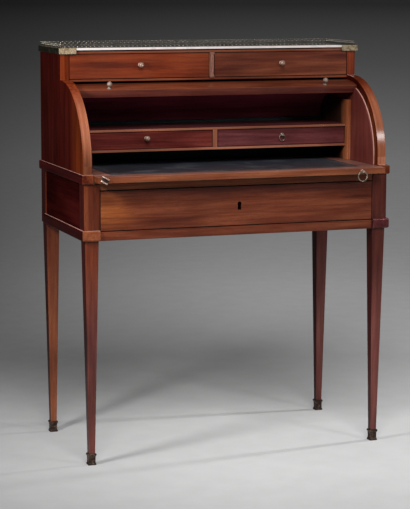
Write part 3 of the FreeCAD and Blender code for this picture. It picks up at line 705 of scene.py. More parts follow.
@dataclass(frozen=True)
class StudioFloor:
    """A plain pale floor that darkens where the studio's lamps no longer reach.

    Attributes:
        name: The material's name.
        centre: The middle of the lit floor, in front of the desk.
        shades: Distances from there in metres, and the painted greys of light and shade at them.
        slopes: How much lighter, as painted light, the near and far floor are on the right than the left.
        slope_reach: The distances of the near and the far floor, in metres.
        turn: The shares of the way across, seen from the centre, that count as left and as right.
    """

    name: str
    centre: Place
    shades: tuple[tuple[float, float], ...]
    slopes: tuple[float, float] = (0.24, 0.62)
    slope_reach: tuple[float, float] = (3.6, 6.0)
    turn: tuple[float, float] = (0.10, 0.40)

    def build(self) -> Material:
        """Makes the material.

        Returns:
            The material.
        """
        sheet = PaintSheet(self.name)
        metres = sheet.distance(sheet.place, self.centre)
        distance = sheet.maths("LOGARITHM", metres, 10.0)
        steps = [math.log10(far) for far, _ in self.shades]
        start, length = steps[0], steps[-1] - steps[0]
        stops = [((step - start) / length, (grey,) * 3) for step, (_, grey) in zip(steps, self.shades)]
        colour = sheet.ramp(sheet.maths("DIVIDE", sheet.minus(distance, start), length), *stops)
        aside = sheet.maths("DIVIDE", sheet.minus(sheet.along[0], self.centre[0]), metres)
        slope = sheet.band(distance, *(math.log10(far) for far in self.slope_reach), *self.slopes)
        side = sheet.maths("MULTIPLY_ADD", sheet.band(aside, *self.turn, -1.0, 1.0), slope, 1.0)
        paper = sheet.band(sheet.noise(sheet.place, 14.0, 4.0), 0.2, 0.8, 0.97, 1.03)
        sheet.set(Base_Color=sheet.shaded(colour, sheet.times(paper, side)))
        sheet.set(Roughness=0.75, Specular_IOR_Level=0.15)
        return sheet.material


Finish = Wood | Metal | Marble | Leather | StudioFloor

RED_BROWN = Tone((0.052, 0.008, 0.003), (0.116, 0.025, 0.010), (0.198, 0.052, 0.021))
# Painted shadow of the writing slide along the top of the long drawer's front.
SLIDE_SHADOW_BROWN = Tone((0.038, 0.006, 0.003), (0.086, 0.018, 0.009), (0.146, 0.038, 0.018))
WARM_BROWN = Tone((0.068, 0.009, 0.003), (0.146, 0.023, 0.006), (0.230, 0.045, 0.012))
ORANGE_BROWN = Tone((0.095, 0.022, 0.008), (0.175, 0.046, 0.018), (0.260, 0.082, 0.034))
# The panels' curved edges: their own tan, lightened with painted highlight.
TAN_AND_HIGHLIGHT = Tone((0.150, 0.042, 0.018), (0.275, 0.089, 0.044), (0.410, 0.162, 0.090))
# The linings' front edges: rubbed pale, and lightened further with painted highlight.
WORN_ROSE_HIGHLIGHT = Tone((0.360, 0.150, 0.120), (0.560, 0.290, 0.235), (0.740, 0.440, 0.370))
LINING_RED = Tone((0.080, 0.015, 0.012), (0.118, 0.024, 0.019), (0.155, 0.036, 0.028))
WORN_BROWN = Tone((0.130, 0.048, 0.034), (0.210, 0.086, 0.064), (0.310, 0.145, 0.115))
RUSSET = Tone((0.048, 0.007, 0.006), (0.096, 0.015, 0.012), (0.155, 0.030, 0.021))
# Painted shade for the back of the interior.
INTERIOR_SHADE = Tone((0.006, 0.012, 0.012), (0.010, 0.022, 0.022), (0.018, 0.034, 0.034))
# The waist moulding's sides: dark mahogany with painted shade.
WAIST_SIDE_SHADE = Tone((0.018, 0.002, 0.002), (0.036, 0.003, 0.003), (0.058, 0.006, 0.005))
PLUM_BROWN = Tone((0.044, 0.009, 0.009), (0.088, 0.019, 0.020), (0.142, 0.038, 0.040))
POST_BROWN = Tone((0.050, 0.008, 0.003), (0.106, 0.020, 0.007), (0.165, 0.040, 0.014))
LOW_PLUM = Tone((0.070, 0.018, 0.014), (0.135, 0.036, 0.029), (0.205, 0.064, 0.052))
# Dark mahogany with painted shade, for the sides of the panels and the legs.
SIDE_SHADE_MAROON = Tone((0.016, 0.002, 0.001), (0.034, 0.003, 0.002), (0.056, 0.007, 0.004))
PANEL_BROWN = Tone((0.036, 0.005, 0.001), (0.078, 0.012, 0.002), (0.125, 0.024, 0.005))
CHEEK_ORANGE = Tone((0.180, 0.046, 0.016), (0.330, 0.100, 0.040), (0.470, 0.180, 0.085))
DARK_PLUM = Tone((0.030, 0.005, 0.004), (0.062, 0.011, 0.007), (0.100, 0.022, 0.014))
NUT_BROWN = Tone((0.150, 0.046, 0.024), (0.250, 0.086, 0.046), (0.360, 0.140, 0.078))
# A purplish painted shade for the inside of the cylinder.
SHADE_BROWN = Tone((0.130, 0.020, 0.036), (0.230, 0.036, 0.062), (0.330, 0.058, 0.090))
# Painted shade under the cylinder's rail.
RAIL_UNDERSIDE_SHADE = Tone((0.034, 0.005, 0.006), (0.058, 0.009, 0.011), (0.086, 0.015, 0.017))
# Dark mahogany with painted shade, for the aprons and the base mouldings' sides.
SHADED_MAROON = Tone((0.011, 0.0015, 0.0015), (0.023, 0.0025, 0.0025), (0.038, 0.005, 0.004))
# Painted shade for the cheeks towards the back.
CHEEK_SHADE = Tone((0.010, 0.004, 0.003), (0.020, 0.008, 0.005), (0.034, 0.014, 0.008))
FLARE_ORANGE = Tone((0.110, 0.024, 0.007), (0.225, 0.056, 0.014), (0.330, 0.100, 0.028))
# Painted shade for the gaps between parts and the faces that lie in them.
GAP_SHADE = Tone((0.006, 0.002, 0.001), (0.012, 0.004, 0.002), (0.022, 0.007, 0.004))
OLD_OAK = Tone((0.11, 0.062, 0.030), (0.20, 0.122, 0.062), (0.30, 0.190, 0.104))

# Painted shade on the board under the marble's overhang.
SHADED_TOP_BOARD = Wood("shaded_top_board", GAP_SHADE, Grain.ALONG_X)
# Front boards, with painted shade on their narrow edges, which lie in the gaps; it gives the dark line on
# top of the lower rails.
FRONT_VENEER = Wood(
    "front_veneer", RED_BROWN, Grain.ALONG_X, edge_tone=GAP_SHADE, edge_polish=0.0, face=Facing.FORWARD,
)
# A lighter copy of the front veneer for the upper rail, with painted light where the slide's shadow falls.
LIT_RAIL_BAND = replace(FRONT_VENEER, name="lit_rail_band", tone=ORANGE_BROWN)
# Painted shade of the gap round the frieze drawers' fronts.
FRIEZE_VENEER = replace(FRONT_VENEER, name="frieze_veneer", gap_shade_of="frieze_drawer_front_right")
WARM_VENEER = replace(FRONT_VENEER, name="warm_veneer", tone=WARM_BROWN, gap_shade_of="frieze_drawer_front_left")
# The long drawer's front: the slide's painted shadow along its top, its own red below, and painted shade in
# the gap round it.
DRAWER_VENEER = replace(
    FRONT_VENEER, name="drawer_veneer", tone=SLIDE_SHADOW_BROWN, near_tone=RED_BROWN, near_axis=2,
    near_reach=(675 * MM, 688 * MM), flare=(-0.345, 0.0, 0.645), flare_tone=FLARE_ORANGE,
    gap_shade_of="main_drawer_front",
)
# Legs, with painted shade on their sides.
LEG_MAHOGANY = Wood(
    "leg_mahogany", POST_BROWN, Grain.ALONG_Z, wear=0.5, edge_tone=SIDE_SHADE_MAROON, edge_polish=0.05,
    face=Facing.FORWARD, near_tone=LOW_PLUM, near_axis=2, near_reach=(280 * MM, 560 * MM),
)
# A copy for the right legs, darker up top with painted shade, and one for the rear-left leg, orange towards
# its foot with painted light.
SHADED_LEG = replace(LEG_MAHOGANY, name="shaded_leg", tone=DARK_PLUM)
LIT_FOOT_LEG = replace(LEG_MAHOGANY, name="lit_foot_leg", near_tone=ORANGE_BROWN)
# Side panels: painted shade on their faces, a browner tone towards the front, painted highlight on the
# curved edges and, on the left, painted shade at the foot of the curve.
LEFT_PANEL = Wood(
    "left_panel", SIDE_SHADE_MAROON, Grain.ALONG_Z, polish=0.04, sheen=0.02, wear=0.9,
    edge_tone=TAN_AND_HIGHLIGHT, edge_polish=0.15, gloss=0.2, post_tone=WARM_BROWN, foot_shade=0.5, bent=True,
    near_tone=PANEL_BROWN,
)
RIGHT_PANEL = replace(LEFT_PANEL, name="right_panel", edge_polish=0.8, foot_shade=1.0)
# Aprons, with painted shade.
APRON_VENEER = Wood("apron_veneer", SHADED_MAROON, Grain.ALONG_Y, polish=0.0, sheen=0.0)
# Mouldings, with painted shade on their sides and painted highlight lines on their upper edges.
WAIST_WOOD = Wood(
    "waist_wood", WAIST_SIDE_SHADE, Grain.ALONG_Y, polish=0.05, sheen=0.04, painted_highlight=(0.36, 0.21, 0.18),
    edge_tone=RED_BROWN,
)
BASE_WOOD = replace(
    WAIST_WOOD, name="base_wood", tone=SHADED_MAROON, painted_highlight_end=0.0, edge_tone=ORANGE_BROWN,
    right_tone=PLUM_BROWN,
)
# Linings, with a worn edge and painted highlight along their fronts.
LINING_WOOD = Wood(
    "lining_wood", LINING_RED, Grain.ALONG_Z, edge_tone=WORN_ROSE_HIGHLIGHT, edge_start=386.2 * MM, bent=True,
    wear=0.5,
)
# Painted shade inside the cylinder and under its rail.
CYLINDER_VENEER = Wood("cylinder_veneer", RED_BROWN, Grain.ALONG_X, turned_in_shade=SHADE_BROWN)
RAIL_VENEER = replace(
    CYLINDER_VENEER, name="rail_veneer", turned_in_shade=RAIL_UNDERSIDE_SHADE, wear=1.0, rubbed=(2.4, 2.2, 2.0),
)
# The slide and the frieze's top rail, with painted highlight lines along their upper edges.
SLIDE_WOOD = Wood(
    "slide_wood", WORN_BROWN, Grain.ALONG_X, wear=1.0, painted_highlight=(0.34, 0.18, 0.14),
    edge_tone=ORANGE_BROWN, face=Facing.UPWARD,
)
# Small drawers' fronts, with painted shade on their narrow edges and in the gaps round them.
INNER_VENEER = Wood(
    "inner_veneer", PLUM_BROWN, Grain.ALONG_X, polish=0.1, sheen=0.1,
    edge_tone=GAP_SHADE, edge_polish=0.0, face=Facing.FORWARD, gap_shade_of="inner_drawer_front_right",
)
RUSSET_VENEER = replace(
    INNER_VENEER, name="russet_veneer", tone=RUSSET, polish=0.03, sheen=0.05,
    gap_shade_of="inner_drawer_front_left",
)
# Painted shade on the interior's back.
SHADED_BACK = Wood("shaded_back", INTERIOR_SHADE, Grain.ALONG_X, polish=0.0, sheen=0.1)
SHELF_WOOD = Wood(
    "shelf_wood", PLUM_BROWN, Grain.ALONG_X, polish=0.1, edge_tone=NUT_BROWN, face=Facing.UPWARD,
)
# Cheeks, with painted shade towards the back and their own orange at the front.
CHEEK_WOOD = Wood(
    "cheek_wood", CHEEK_SHADE, Grain.ALONG_Z, polish=0.1, near_tone=CHEEK_ORANGE,
    near_reach=(-4 * MM, 42 * MM),
)
DIVIDER_WOOD = Wood("divider_wood", NUT_BROWN, Grain.ALONG_Z, polish=0.1)
OAK_ALONG = Wood("oak_along", OLD_OAK, Grain.ALONG_X, polish=0.0, roughness=0.62, wear=0.3)
OAK_DEEP = replace(OAK_ALONG, name="oak_deep", grain=Grain.ALONG_Y)
PALE_BRASS = Metal("pale_brass", (0.50, 0.36, 0.29), (0.22, 0.14, 0.10), skin=0.35, roughness=0.6)
DIM_BRASS = Metal("dim_brass", (0.40, 0.31, 0.26), (0.18, 0.13, 0.10), skin=0.4, roughness=0.7)
ROSY_BRASS = Metal("rosy_brass", (0.78, 0.54, 0.44), (0.34, 0.20, 0.15), skin=0.3, roughness=0.36)
OLD_BRASS = Metal("old_brass", (0.62, 0.56, 0.46), (0.26, 0.23, 0.18), skin=0.4, roughness=0.36)
# Corner bands, with painted shade on their sideways faces.
CHASED_BRASS = Metal(
    "chased_brass", (0.56, 0.44, 0.28), (0.25, 0.19, 0.11), roughness=0.42,
    chasing=0.5 * MM, side_shade=(0.05, 0.045, 0.03), right_shade=0.65,
)
DARK_BRASS = Metal("dark_brass", (0.16, 0.14, 0.11), (0.06, 0.052, 0.04), skin=0.6, roughness=0.4)
STRIP_BRASS = Metal("strip_brass", (0.34, 0.165, 0.122), (0.16, 0.072, 0.050), skin=0.35, roughness=0.4)
RING_BRASS = Metal("ring_brass", (0.46, 0.38, 0.32), (0.10, 0.08, 0.06), skin=0.55, roughness=0.34)
DARK_BRONZE = Metal("dark_bronze", (0.24, 0.16, 0.12), (0.055, 0.037, 0.031), skin=0.75, roughness=0.38)
LOCK_STEEL = Metal("lock_steel", (0.20, 0.19, 0.18), (0.06, 0.05, 0.04), skin=0.7, roughness=0.42)
# Marble with painted shade on its upper face.
WHITE_MARBLE = Marble("white_marble", (0.72, 0.63, 0.60), (0.42, 0.40, 0.40), (0.10, 0.098, 0.095))
GREEN_LEATHER = Leather("green_leather", (0.021, 0.023, 0.031), (0.040, 0.043, 0.052), (0.18, 0.15, 0.11))
PALE_PAPER = StudioFloor(
    "pale_paper", (-1.18, -3.3, 0.0),
    (
        (2.6, 0.35), (3.2, 0.52), (3.7, 0.52), (4.6, 0.33),
        (6.0, 0.46), (11.0, 0.55), (24.0, 0.29), (70.0, 0.10),
    ),
)


@functools.cache
def paint(finish: Finish) -> Material:
    """Makes a finish's material once and gives it each time."""
    return finish.build()


def pair(stem: str) -> list[str]:
    """Names the left and the right piece of a pair."""
    return [f"{stem}_{side}" for side in SIDES]


def dress(finish: Finish, *names: str, rounding: float = 0.8 * MM) -> None:
    """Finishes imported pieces: softens their sharp edges and gives them a material.

    Args:
        finish: The finish.
        *names: The pieces' nodes.
        rounding: The width of the softened edge, in metres.
    """
    for name in names:
        node = frame["nodes"][name]
        node.modifiers.new("welded", "WELD").merge_threshold = WELD_REACH
        whole = node.modifiers.new("whole_faces", "DECIMATE")
        whole.decimate_type = "DISSOLVE"
        whole.angle_limit = FLAT_ANGLE
        soft = node.modifiers.new("softened", "BEVEL")
        soft.width = rounding
        soft.segments = 2
        soft.limit_method = "ANGLE"
        soft.angle_limit = EDGE_ANGLE
        node.modifiers.new("shading", "WEIGHTED_NORMAL").keep_sharp = False
        for slot in node.material_slots:
            slot.link = "OBJECT"
            slot.material = paint(finish)
        log.info("%s finished as %s", name, finish.name)


def add_piece(name: str, shape: Form, finish: Finish, body: str, stands_for: str) -> None:
    """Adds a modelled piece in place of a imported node.

    Args:
        name: The piece's name.
        shape: Its form.
        finish: Its finish.
        body: The body that it rides on.
        stands_for: The node that it replaces.
    """
    bmesh.ops.recalc_face_normals(shape, faces=shape.faces)
    mesh = bpy.data.meshes.new(name)
    shape.to_mesh(mesh)
    shape.free()
    mesh.polygons.foreach_set("use_smooth", [True] * len(mesh.polygons))
    mesh.set_sharp_from_angle(angle=SHARP_ANGLE)
    mesh.materials.append(paint(finish))
    piece = bpy.data.objects.new(name, mesh)
    bpy.context.scene.collection.objects.link(piece)
    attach(piece, body)
    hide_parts(stands_for)
    log.info("%s made with %d faces", name, len(mesh.polygons))


def seat_of(node: str) -> Vector:
    """Gives the middle of a packed fitting's back."""
    low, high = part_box(node)
    return Vector(((low.x + high.x) / 2, high.y, (low.z + high.z) / 2))


def eased(points: Profile, steps: int) -> list[tuple[float, float]]:
    """Draws a smooth line through a few points.

    Args:
        points: The points.
        steps: The stretches between each two points.

    Returns:
        The points of the line.
    """
    line = []
    for index in range(len(points) - 1):
        before = Vector(points[max(index - 1, 0)])
        start, end = Vector(points[index]), Vector(points[index + 1])
        after = Vector(points[min(index + 2, len(points) - 1)])
        for step in range(steps):
            t = step / steps
            bend = (end - before) * t + (before * 2 - start * 5 + end * 4 - after) * t**2
            bend += (start * 3 - before - end * 3 + after) * t**3
            point = start + bend / 2
            line.append((max(point.x, 0.0), point.y))
    line.append(tuple(points[-1]))
    return line


def arc(step: int) -> list[float]:
    """Gives the angles from -90 to 90 degrees in steps, in radians."""
    return [math.radians(degrees) for degrees in range(-90, 91, step)]


def bridge(shape: Form, rings: Sequence[Sequence[bmesh.types.BMVert]]) -> None:
    """Skins a row of rings with the same number of points, and closes both ends.

    Args:
        shape: The form to add to.
        rings: The rings, in order.
    """
    for lower, upper in zip(rings, rings[1:]):
        for index in range(len(lower)):
            following = (index + 1) % len(lower)
            shape.faces.new((lower[index], lower[following], upper[following], upper[index]))
    shape.faces.new(reversed(rings[0]))
    shape.faces.new(rings[-1])


def add_turning(shape: Form, profile: Profile, place: Matrix, sides: int = 36) -> None:
    """Adds a turned form.

    Args:
        shape: The form to add to.
        profile: Radius and distance along the axis, in metres.
        place: Sets the turning's Z axis in the frame.
        sides: The points round it.
    """
    turns = [math.tau * side / sides for side in range(sides)]
    rings = []
    for radius, along in profile:
        wide = max(radius, POINT_RADIUS)
        points = [Vector((wide * math.cos(turn), wide * math.sin(turn), along)) for turn in turns]
        rings.append([shape.verts.new(place @ point) for point in points])
    bridge(shape, rings)


def add_square_turning(shape: Form, profile: Profile, place: Matrix, corner: float) -> None:
    """Adds a form with a square plan that is moulded in height.

    Args:
        shape: The form to add to.
        profile: Half the width and the height, in metres.
        place: Sets the form in the frame.
        corner: How much is taken off each corner, in metres.
    """
    rings = []
    for half, height in profile:
        inner = half - corner
        plan = [(half, -inner), (half, inner), (inner, half), (-inner, half)]
        plan += [(-x, -y) for x, y in plan]
        rings.append([shape.verts.new(place @ Vector((x, y, height))) for x, y in plan])
    bridge(shape, rings)


def looking(direction: Vector, place: Vector) -> Matrix:
    """Gives the matrix that sets a turning's axis along a direction from a place."""
    return Matrix.Translation(place) @ direction.to_track_quat("Z", "Y").to_matrix().to_4x4()


def add_bar(shape: Form, start: Vector, end: Vector, thickness: float, sides: int = 8) -> None:
    """Adds a round bar between two points.

    Args:
        shape: The form to add to.
        start: One end.
        end: The other end.
        thickness: The bar's diameter, in metres.
        sides: The points round it.
    """
    way = end - start
    radius = thickness / 2
    add_turning(shape, [(radius, 0.0), (radius, way.length)], looking(way, start), sides)


@dataclass
class Knob:
    """A turned brass knob: a moulded rose, a slim neck and a ball with a dished face.

    Attributes:
        rose: The radius of the rose, in metres.
        neck: The radius of the neck.
        ball: The radius of the ball.
        reach: How far the knob stands out from its seat.
        dish: The radius of the hollow in its face.
    """

    rose: float = 5.5 * MM
    neck: float = 2.5 * MM
    ball: float = 7.0 * MM
    reach: float = 18.6 * MM
    dish: float = 2.8 * MM

    def profile(self) -> list[tuple[float, float]]:
        """Draws the knob's half section.

        Returns:
            Its points from the seat to the middle of the face, as radius and distance along the axis.
        """
        middle = self.reach - self.ball * 0.98
        foot = [(self.rose, 0.0), (self.rose, 0.9 * MM)]
        foot += [(self.rose * 0.86, 1.5 * MM), (self.rose * 0.62, 1.9 * MM)]
        stem = [(self.neck, 3.2 * MM), (self.neck * 0.94, middle - self.ball)]
        stem.append((self.neck * 1.35, middle - self.ball * 0.86))
        turns = [math.radians(degrees) for degrees in range(-46, 64, 12)]
        head = [(self.ball * math.cos(turn), middle + self.ball * math.sin(turn)) for turn in turns]
        face = [(self.dish, self.reach - 0.25 * MM), (self.dish * 0.8, self.reach - 0.7 * MM)]
        face += [(self.dish * 0.4, self.reach - 1.5 * MM), (0.0, self.reach - 1.7 * MM)]
        return foot + eased(stem + head[:1], 4) + eased(head + face, 3)

    def add(self, shape: Form, seat: Vector, direction: Vector) -> None:
        """Adds the knob to a form, on its seat and pointing in a direction."""
        add_turning(shape, self.profile(), looking(direction, seat))

    def make(self, name: str, node: str, body: str) -> None:
        """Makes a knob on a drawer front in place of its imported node.

        Args:
            name: The piece's name.
            node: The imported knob.
            body: The drawer.
        """
        shape = bmesh.new()
        self.add(shape, seat_of(node), Vector((0, -1, 0)))
        add_piece(name, shape, PALE_BRASS, body, node)


@dataclass
class Legs:
    """Four tapered legs, each in a moulded bronze sabot.

    Attributes:
        rounding: The width of the legs' softened edges, in metres.
        corner: How much is taken off a sabot's corners, in metres.
        profile: Half the width of a sabot and the height, in millimetres.
    """

    rounding: float = 1.0 * MM
    corner: float = 1.1 * MM
    profile: tuple[tuple[float, float], ...] = (
        (10.0, 0.0), (10.5, 0.7), (10.5, 3.4), (9.9, 4.8), (9.2, 6.2), (9.0, 10.0), (9.1, 17.0),
        (9.4, 22.0), (10.1, 24.2), (11.0, 25.0), (11.25, 26.2), (11.25, 27.8), (10.6, 29.4), (9.2, 30.0),
    )

    def build(self) -> None:
        """Makes the four sabots."""
        shape = bmesh.new()
        section = [(half * MM, level * MM) for half, level in self.profile]
        for leg in pair("leg_front") + pair("leg_rear"):
            low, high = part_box(leg)
            place = Matrix.Translation(((low.x + high.x) / 2, (low.y + high.y) / 2, 0.0))
            add_square_turning(shape, section, place, self.corner)
        add_piece("cast_sabots", shape, DARK_BRONZE, "carcase", "sabots")

    def dress(self) -> None:
        """Finishes the legs: the right pair with painted shade, the rear-left foot with painted light."""
        dress(LEG_MAHOGANY, "leg_front_left", rounding=self.rounding)
        dress(SHADED_LEG, "leg_front_right", "leg_rear_right", rounding=self.rounding)
        dress(LIT_FOOT_LEG, "leg_rear_left", rounding=self.rounding)


@dataclass
class DrawerCase:
    """The case of the long drawer: aprons, rails, mouldings, the drawer and its lock.

    Attributes:
        moulding_rounding: The width of the mouldings' softened edges, in metres.
        lock_rounding: The width of the lock's softened edges.
    """

    moulding_rounding: float = 0.6 * MM
    lock_rounding: float = 0.4 * MM

    def dress(self) -> None:
        """Finishes the case and its drawer."""
        dress(APRON_VENEER, *pair("apron"))
        dress(FRONT_VENEER, "drawer_rail_lower")
        dress(LIT_RAIL_BAND, "drawer_rail_upper")
        dress(DRAWER_VENEER, "main_drawer_front")
        dress(BASE_WOOD, "base_mouldings", rounding=self.moulding_rounding)
        dress(WAIST_WOOD, "waist_mouldings", rounding=self.moulding_rounding)
        dress(OAK_ALONG, "apron_back", "slide_bed", "main_drawer_box")
        dress(OAK_DEEP, "drawer_runners")
        dress(LOCK_STEEL, "main_drawer_lock", "main_drawer_bolt", rounding=self.lock_rounding)


@dataclass
class Housing:
    """The side panels and linings, the back and the cylinder with its rail and knobs.

    Attributes:
        knob: The knob that the rail carries.
        knob_angle: Where on the cylinder the knobs stand, in degrees up from the front.
        knob_seat: How far their seats lie from the cylinder's axis, in metres.
        knob_offset: How far they stand from the desk's middle, in metres.
        panel_rounding: The width of the side panels' softened edges, in metres.
    """

    knob: Knob
    knob_angle: float = 72.5
    knob_seat: float = 192 * MM
    knob_offset: float = 300 * MM
    panel_rounding: float = 1.2 * MM

    def build(self) -> None:
        """Makes the two knobs on the cylinder's rail."""
        turn = math.radians(self.knob_angle)
        outward = Vector((0.0, -math.cos(turn), math.sin(turn)))
        shape = bmesh.new()
        for sign in SIDES.values():
            middle = Vector((sign * self.knob_offset, CYLINDER_AXIS.y, CYLINDER_AXIS.z))
            self.knob.add(shape, middle + outward * self.knob_seat, outward)
        add_piece("turned_cylinder_knobs", shape, DIM_BRASS, "cylinder", "cylinder_knobs")

    def dress(self) -> None:
        """Finishes the panels and the cylinder."""
        dress(LEFT_PANEL, "side_panel_left", rounding=self.panel_rounding)
        dress(RIGHT_PANEL, "side_panel_right", rounding=self.panel_rounding)
        dress(LINING_WOOD, *pair("lining"))
        dress(OAK_ALONG, "back_panel")
        dress(CYLINDER_VENEER, "cylinder_shell")
        dress(RAIL_VENEER, "cylinder_rail")


@dataclass
class Frieze:
    """Two shallow drawers under the top, with a fluted brass strip between them.

    Attributes:
        knob: The knob that each drawer carries.
        strip_rounding: The width of the strip's softened edges, in metres.
    """

    knob: Knob
    strip_rounding: float = 0.25 * MM

    def build(self) -> None:
        """Makes the drawer knobs."""
        for side in SIDES:
            drawer = f"frieze_drawer_{side}"
            self.knob.make(f"turned_frieze_knob_{side}", f"frieze_drawer_knob_{side}", drawer)

    def dress(self) -> None:
        """Finishes the rails, the drawers and the strip."""
        dress(FRONT_VENEER, "frieze_rail_lower")
        dress(SLIDE_WOOD, "frieze_rail_top")
        dress(WARM_VENEER, "frieze_drawer_front_left")
        dress(FRIEZE_VENEER, "frieze_drawer_front_right")
        dress(OAK_DEEP, "frieze_partition", "frieze_floor", *pair("frieze_drawer_box"))
        dress(STRIP_BRASS, "fluted_strip", rounding=self.strip_rounding)


@dataclass
class MarbleTop:
    """The marble in its brass bands, with a pierced gallery round three sides.

    Attributes:
        foot: How high the middle of the lower rail lies, in metres.
        rail: The thickness of the rails.
        bar: The thickness of the crossed bars.
        bead: The width of the beads.
        pitch: The width of a cell of the gallery.
        marble_rounding: The width of the marble's softened edges.
        band_rounding: The width of the brass bands' softened edges.
    """

    foot: float = 0.7 * MM
    rail: float = 1.2 * MM
    bar: float = 1.1 * MM
    bead: float = 3.4 * MM
    pitch: float = 12.0 * MM
    marble_rounding: float = 0.3 * MM
    band_rounding: float = 0.4 * MM

    def build(self) -> None:
        """Makes the gallery as rails, crossed bars and beads."""
        low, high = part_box("gallery")
        half = self.bead / 2
        left, right, front, rear = low.x + half, high.x - half, low.y + half, high.y - half
        plan = ((left, front), (left, rear), (right, rear), (right, front))
        corners = [Vector((x, y, low.z)) for x, y in plan]
        lattice, beads = bmesh.new(), bmesh.new()
        for start, end in zip(corners, corners[1:]):
            self.add_run(lattice, beads, start, end - start, high.z - low.z)
        add_piece("gallery_lattice", lattice, DARK_BRASS, "carcase", "gallery")
        add_piece("gallery_beads", beads, OLD_BRASS, "carcase", "gallery")

    def add_run(self, lattice: Form, beads: Form, start: Vector, way: Vector, height: float) -> None:
        """Adds one straight run, with a bead on each crossing and one over each joint of two cells.

        Args:
            lattice: The form that gets the rails and the bars.
            beads: The form that gets the beads.
            start: The foot of one end.
            way: From there to the other end.
            height: The gallery's height.
        """
        count = round(way.length / self.pitch)
        step = way / count
        foot, head = Vector((0, 0, self.foot)), Vector((0, 0, height - self.bead / 2))
        for level in (foot, head):
            add_bar(lattice, start + level, start + way + level, self.rail)
        for number in range(count):
            corner = start + step * number
            add_bar(lattice, corner + foot, corner + step + head, self.bar, 6)
            add_bar(lattice, corner + head, corner + step + foot, self.bar, 6)
            self.add_bead(beads, corner + step / 2 + (foot + head) / 2)
            self.add_bead(beads, corner + head)

    def add_bead(self, shape: Form, centre: Vector) -> None:
        """Adds a bead that is a little flattened in height.

        Args:
            shape: The form to add to.
            centre: The bead's middle.
        """
        radius = self.bead / 2
        profile = [(radius * math.cos(turn), radius * 0.9 * math.sin(turn)) for turn in arc(30)]
        add_turning(shape, profile, Matrix.Translation(centre), 10)

    def dress(self) -> None:
        """Finishes the marble, its bands and the board under it."""
        dress(WHITE_MARBLE, "marble_top", rounding=self.marble_rounding)
        dress(CHASED_BRASS, "corner_bands", rounding=self.band_rounding)
        dress(SHADED_TOP_BOARD, "top_board")


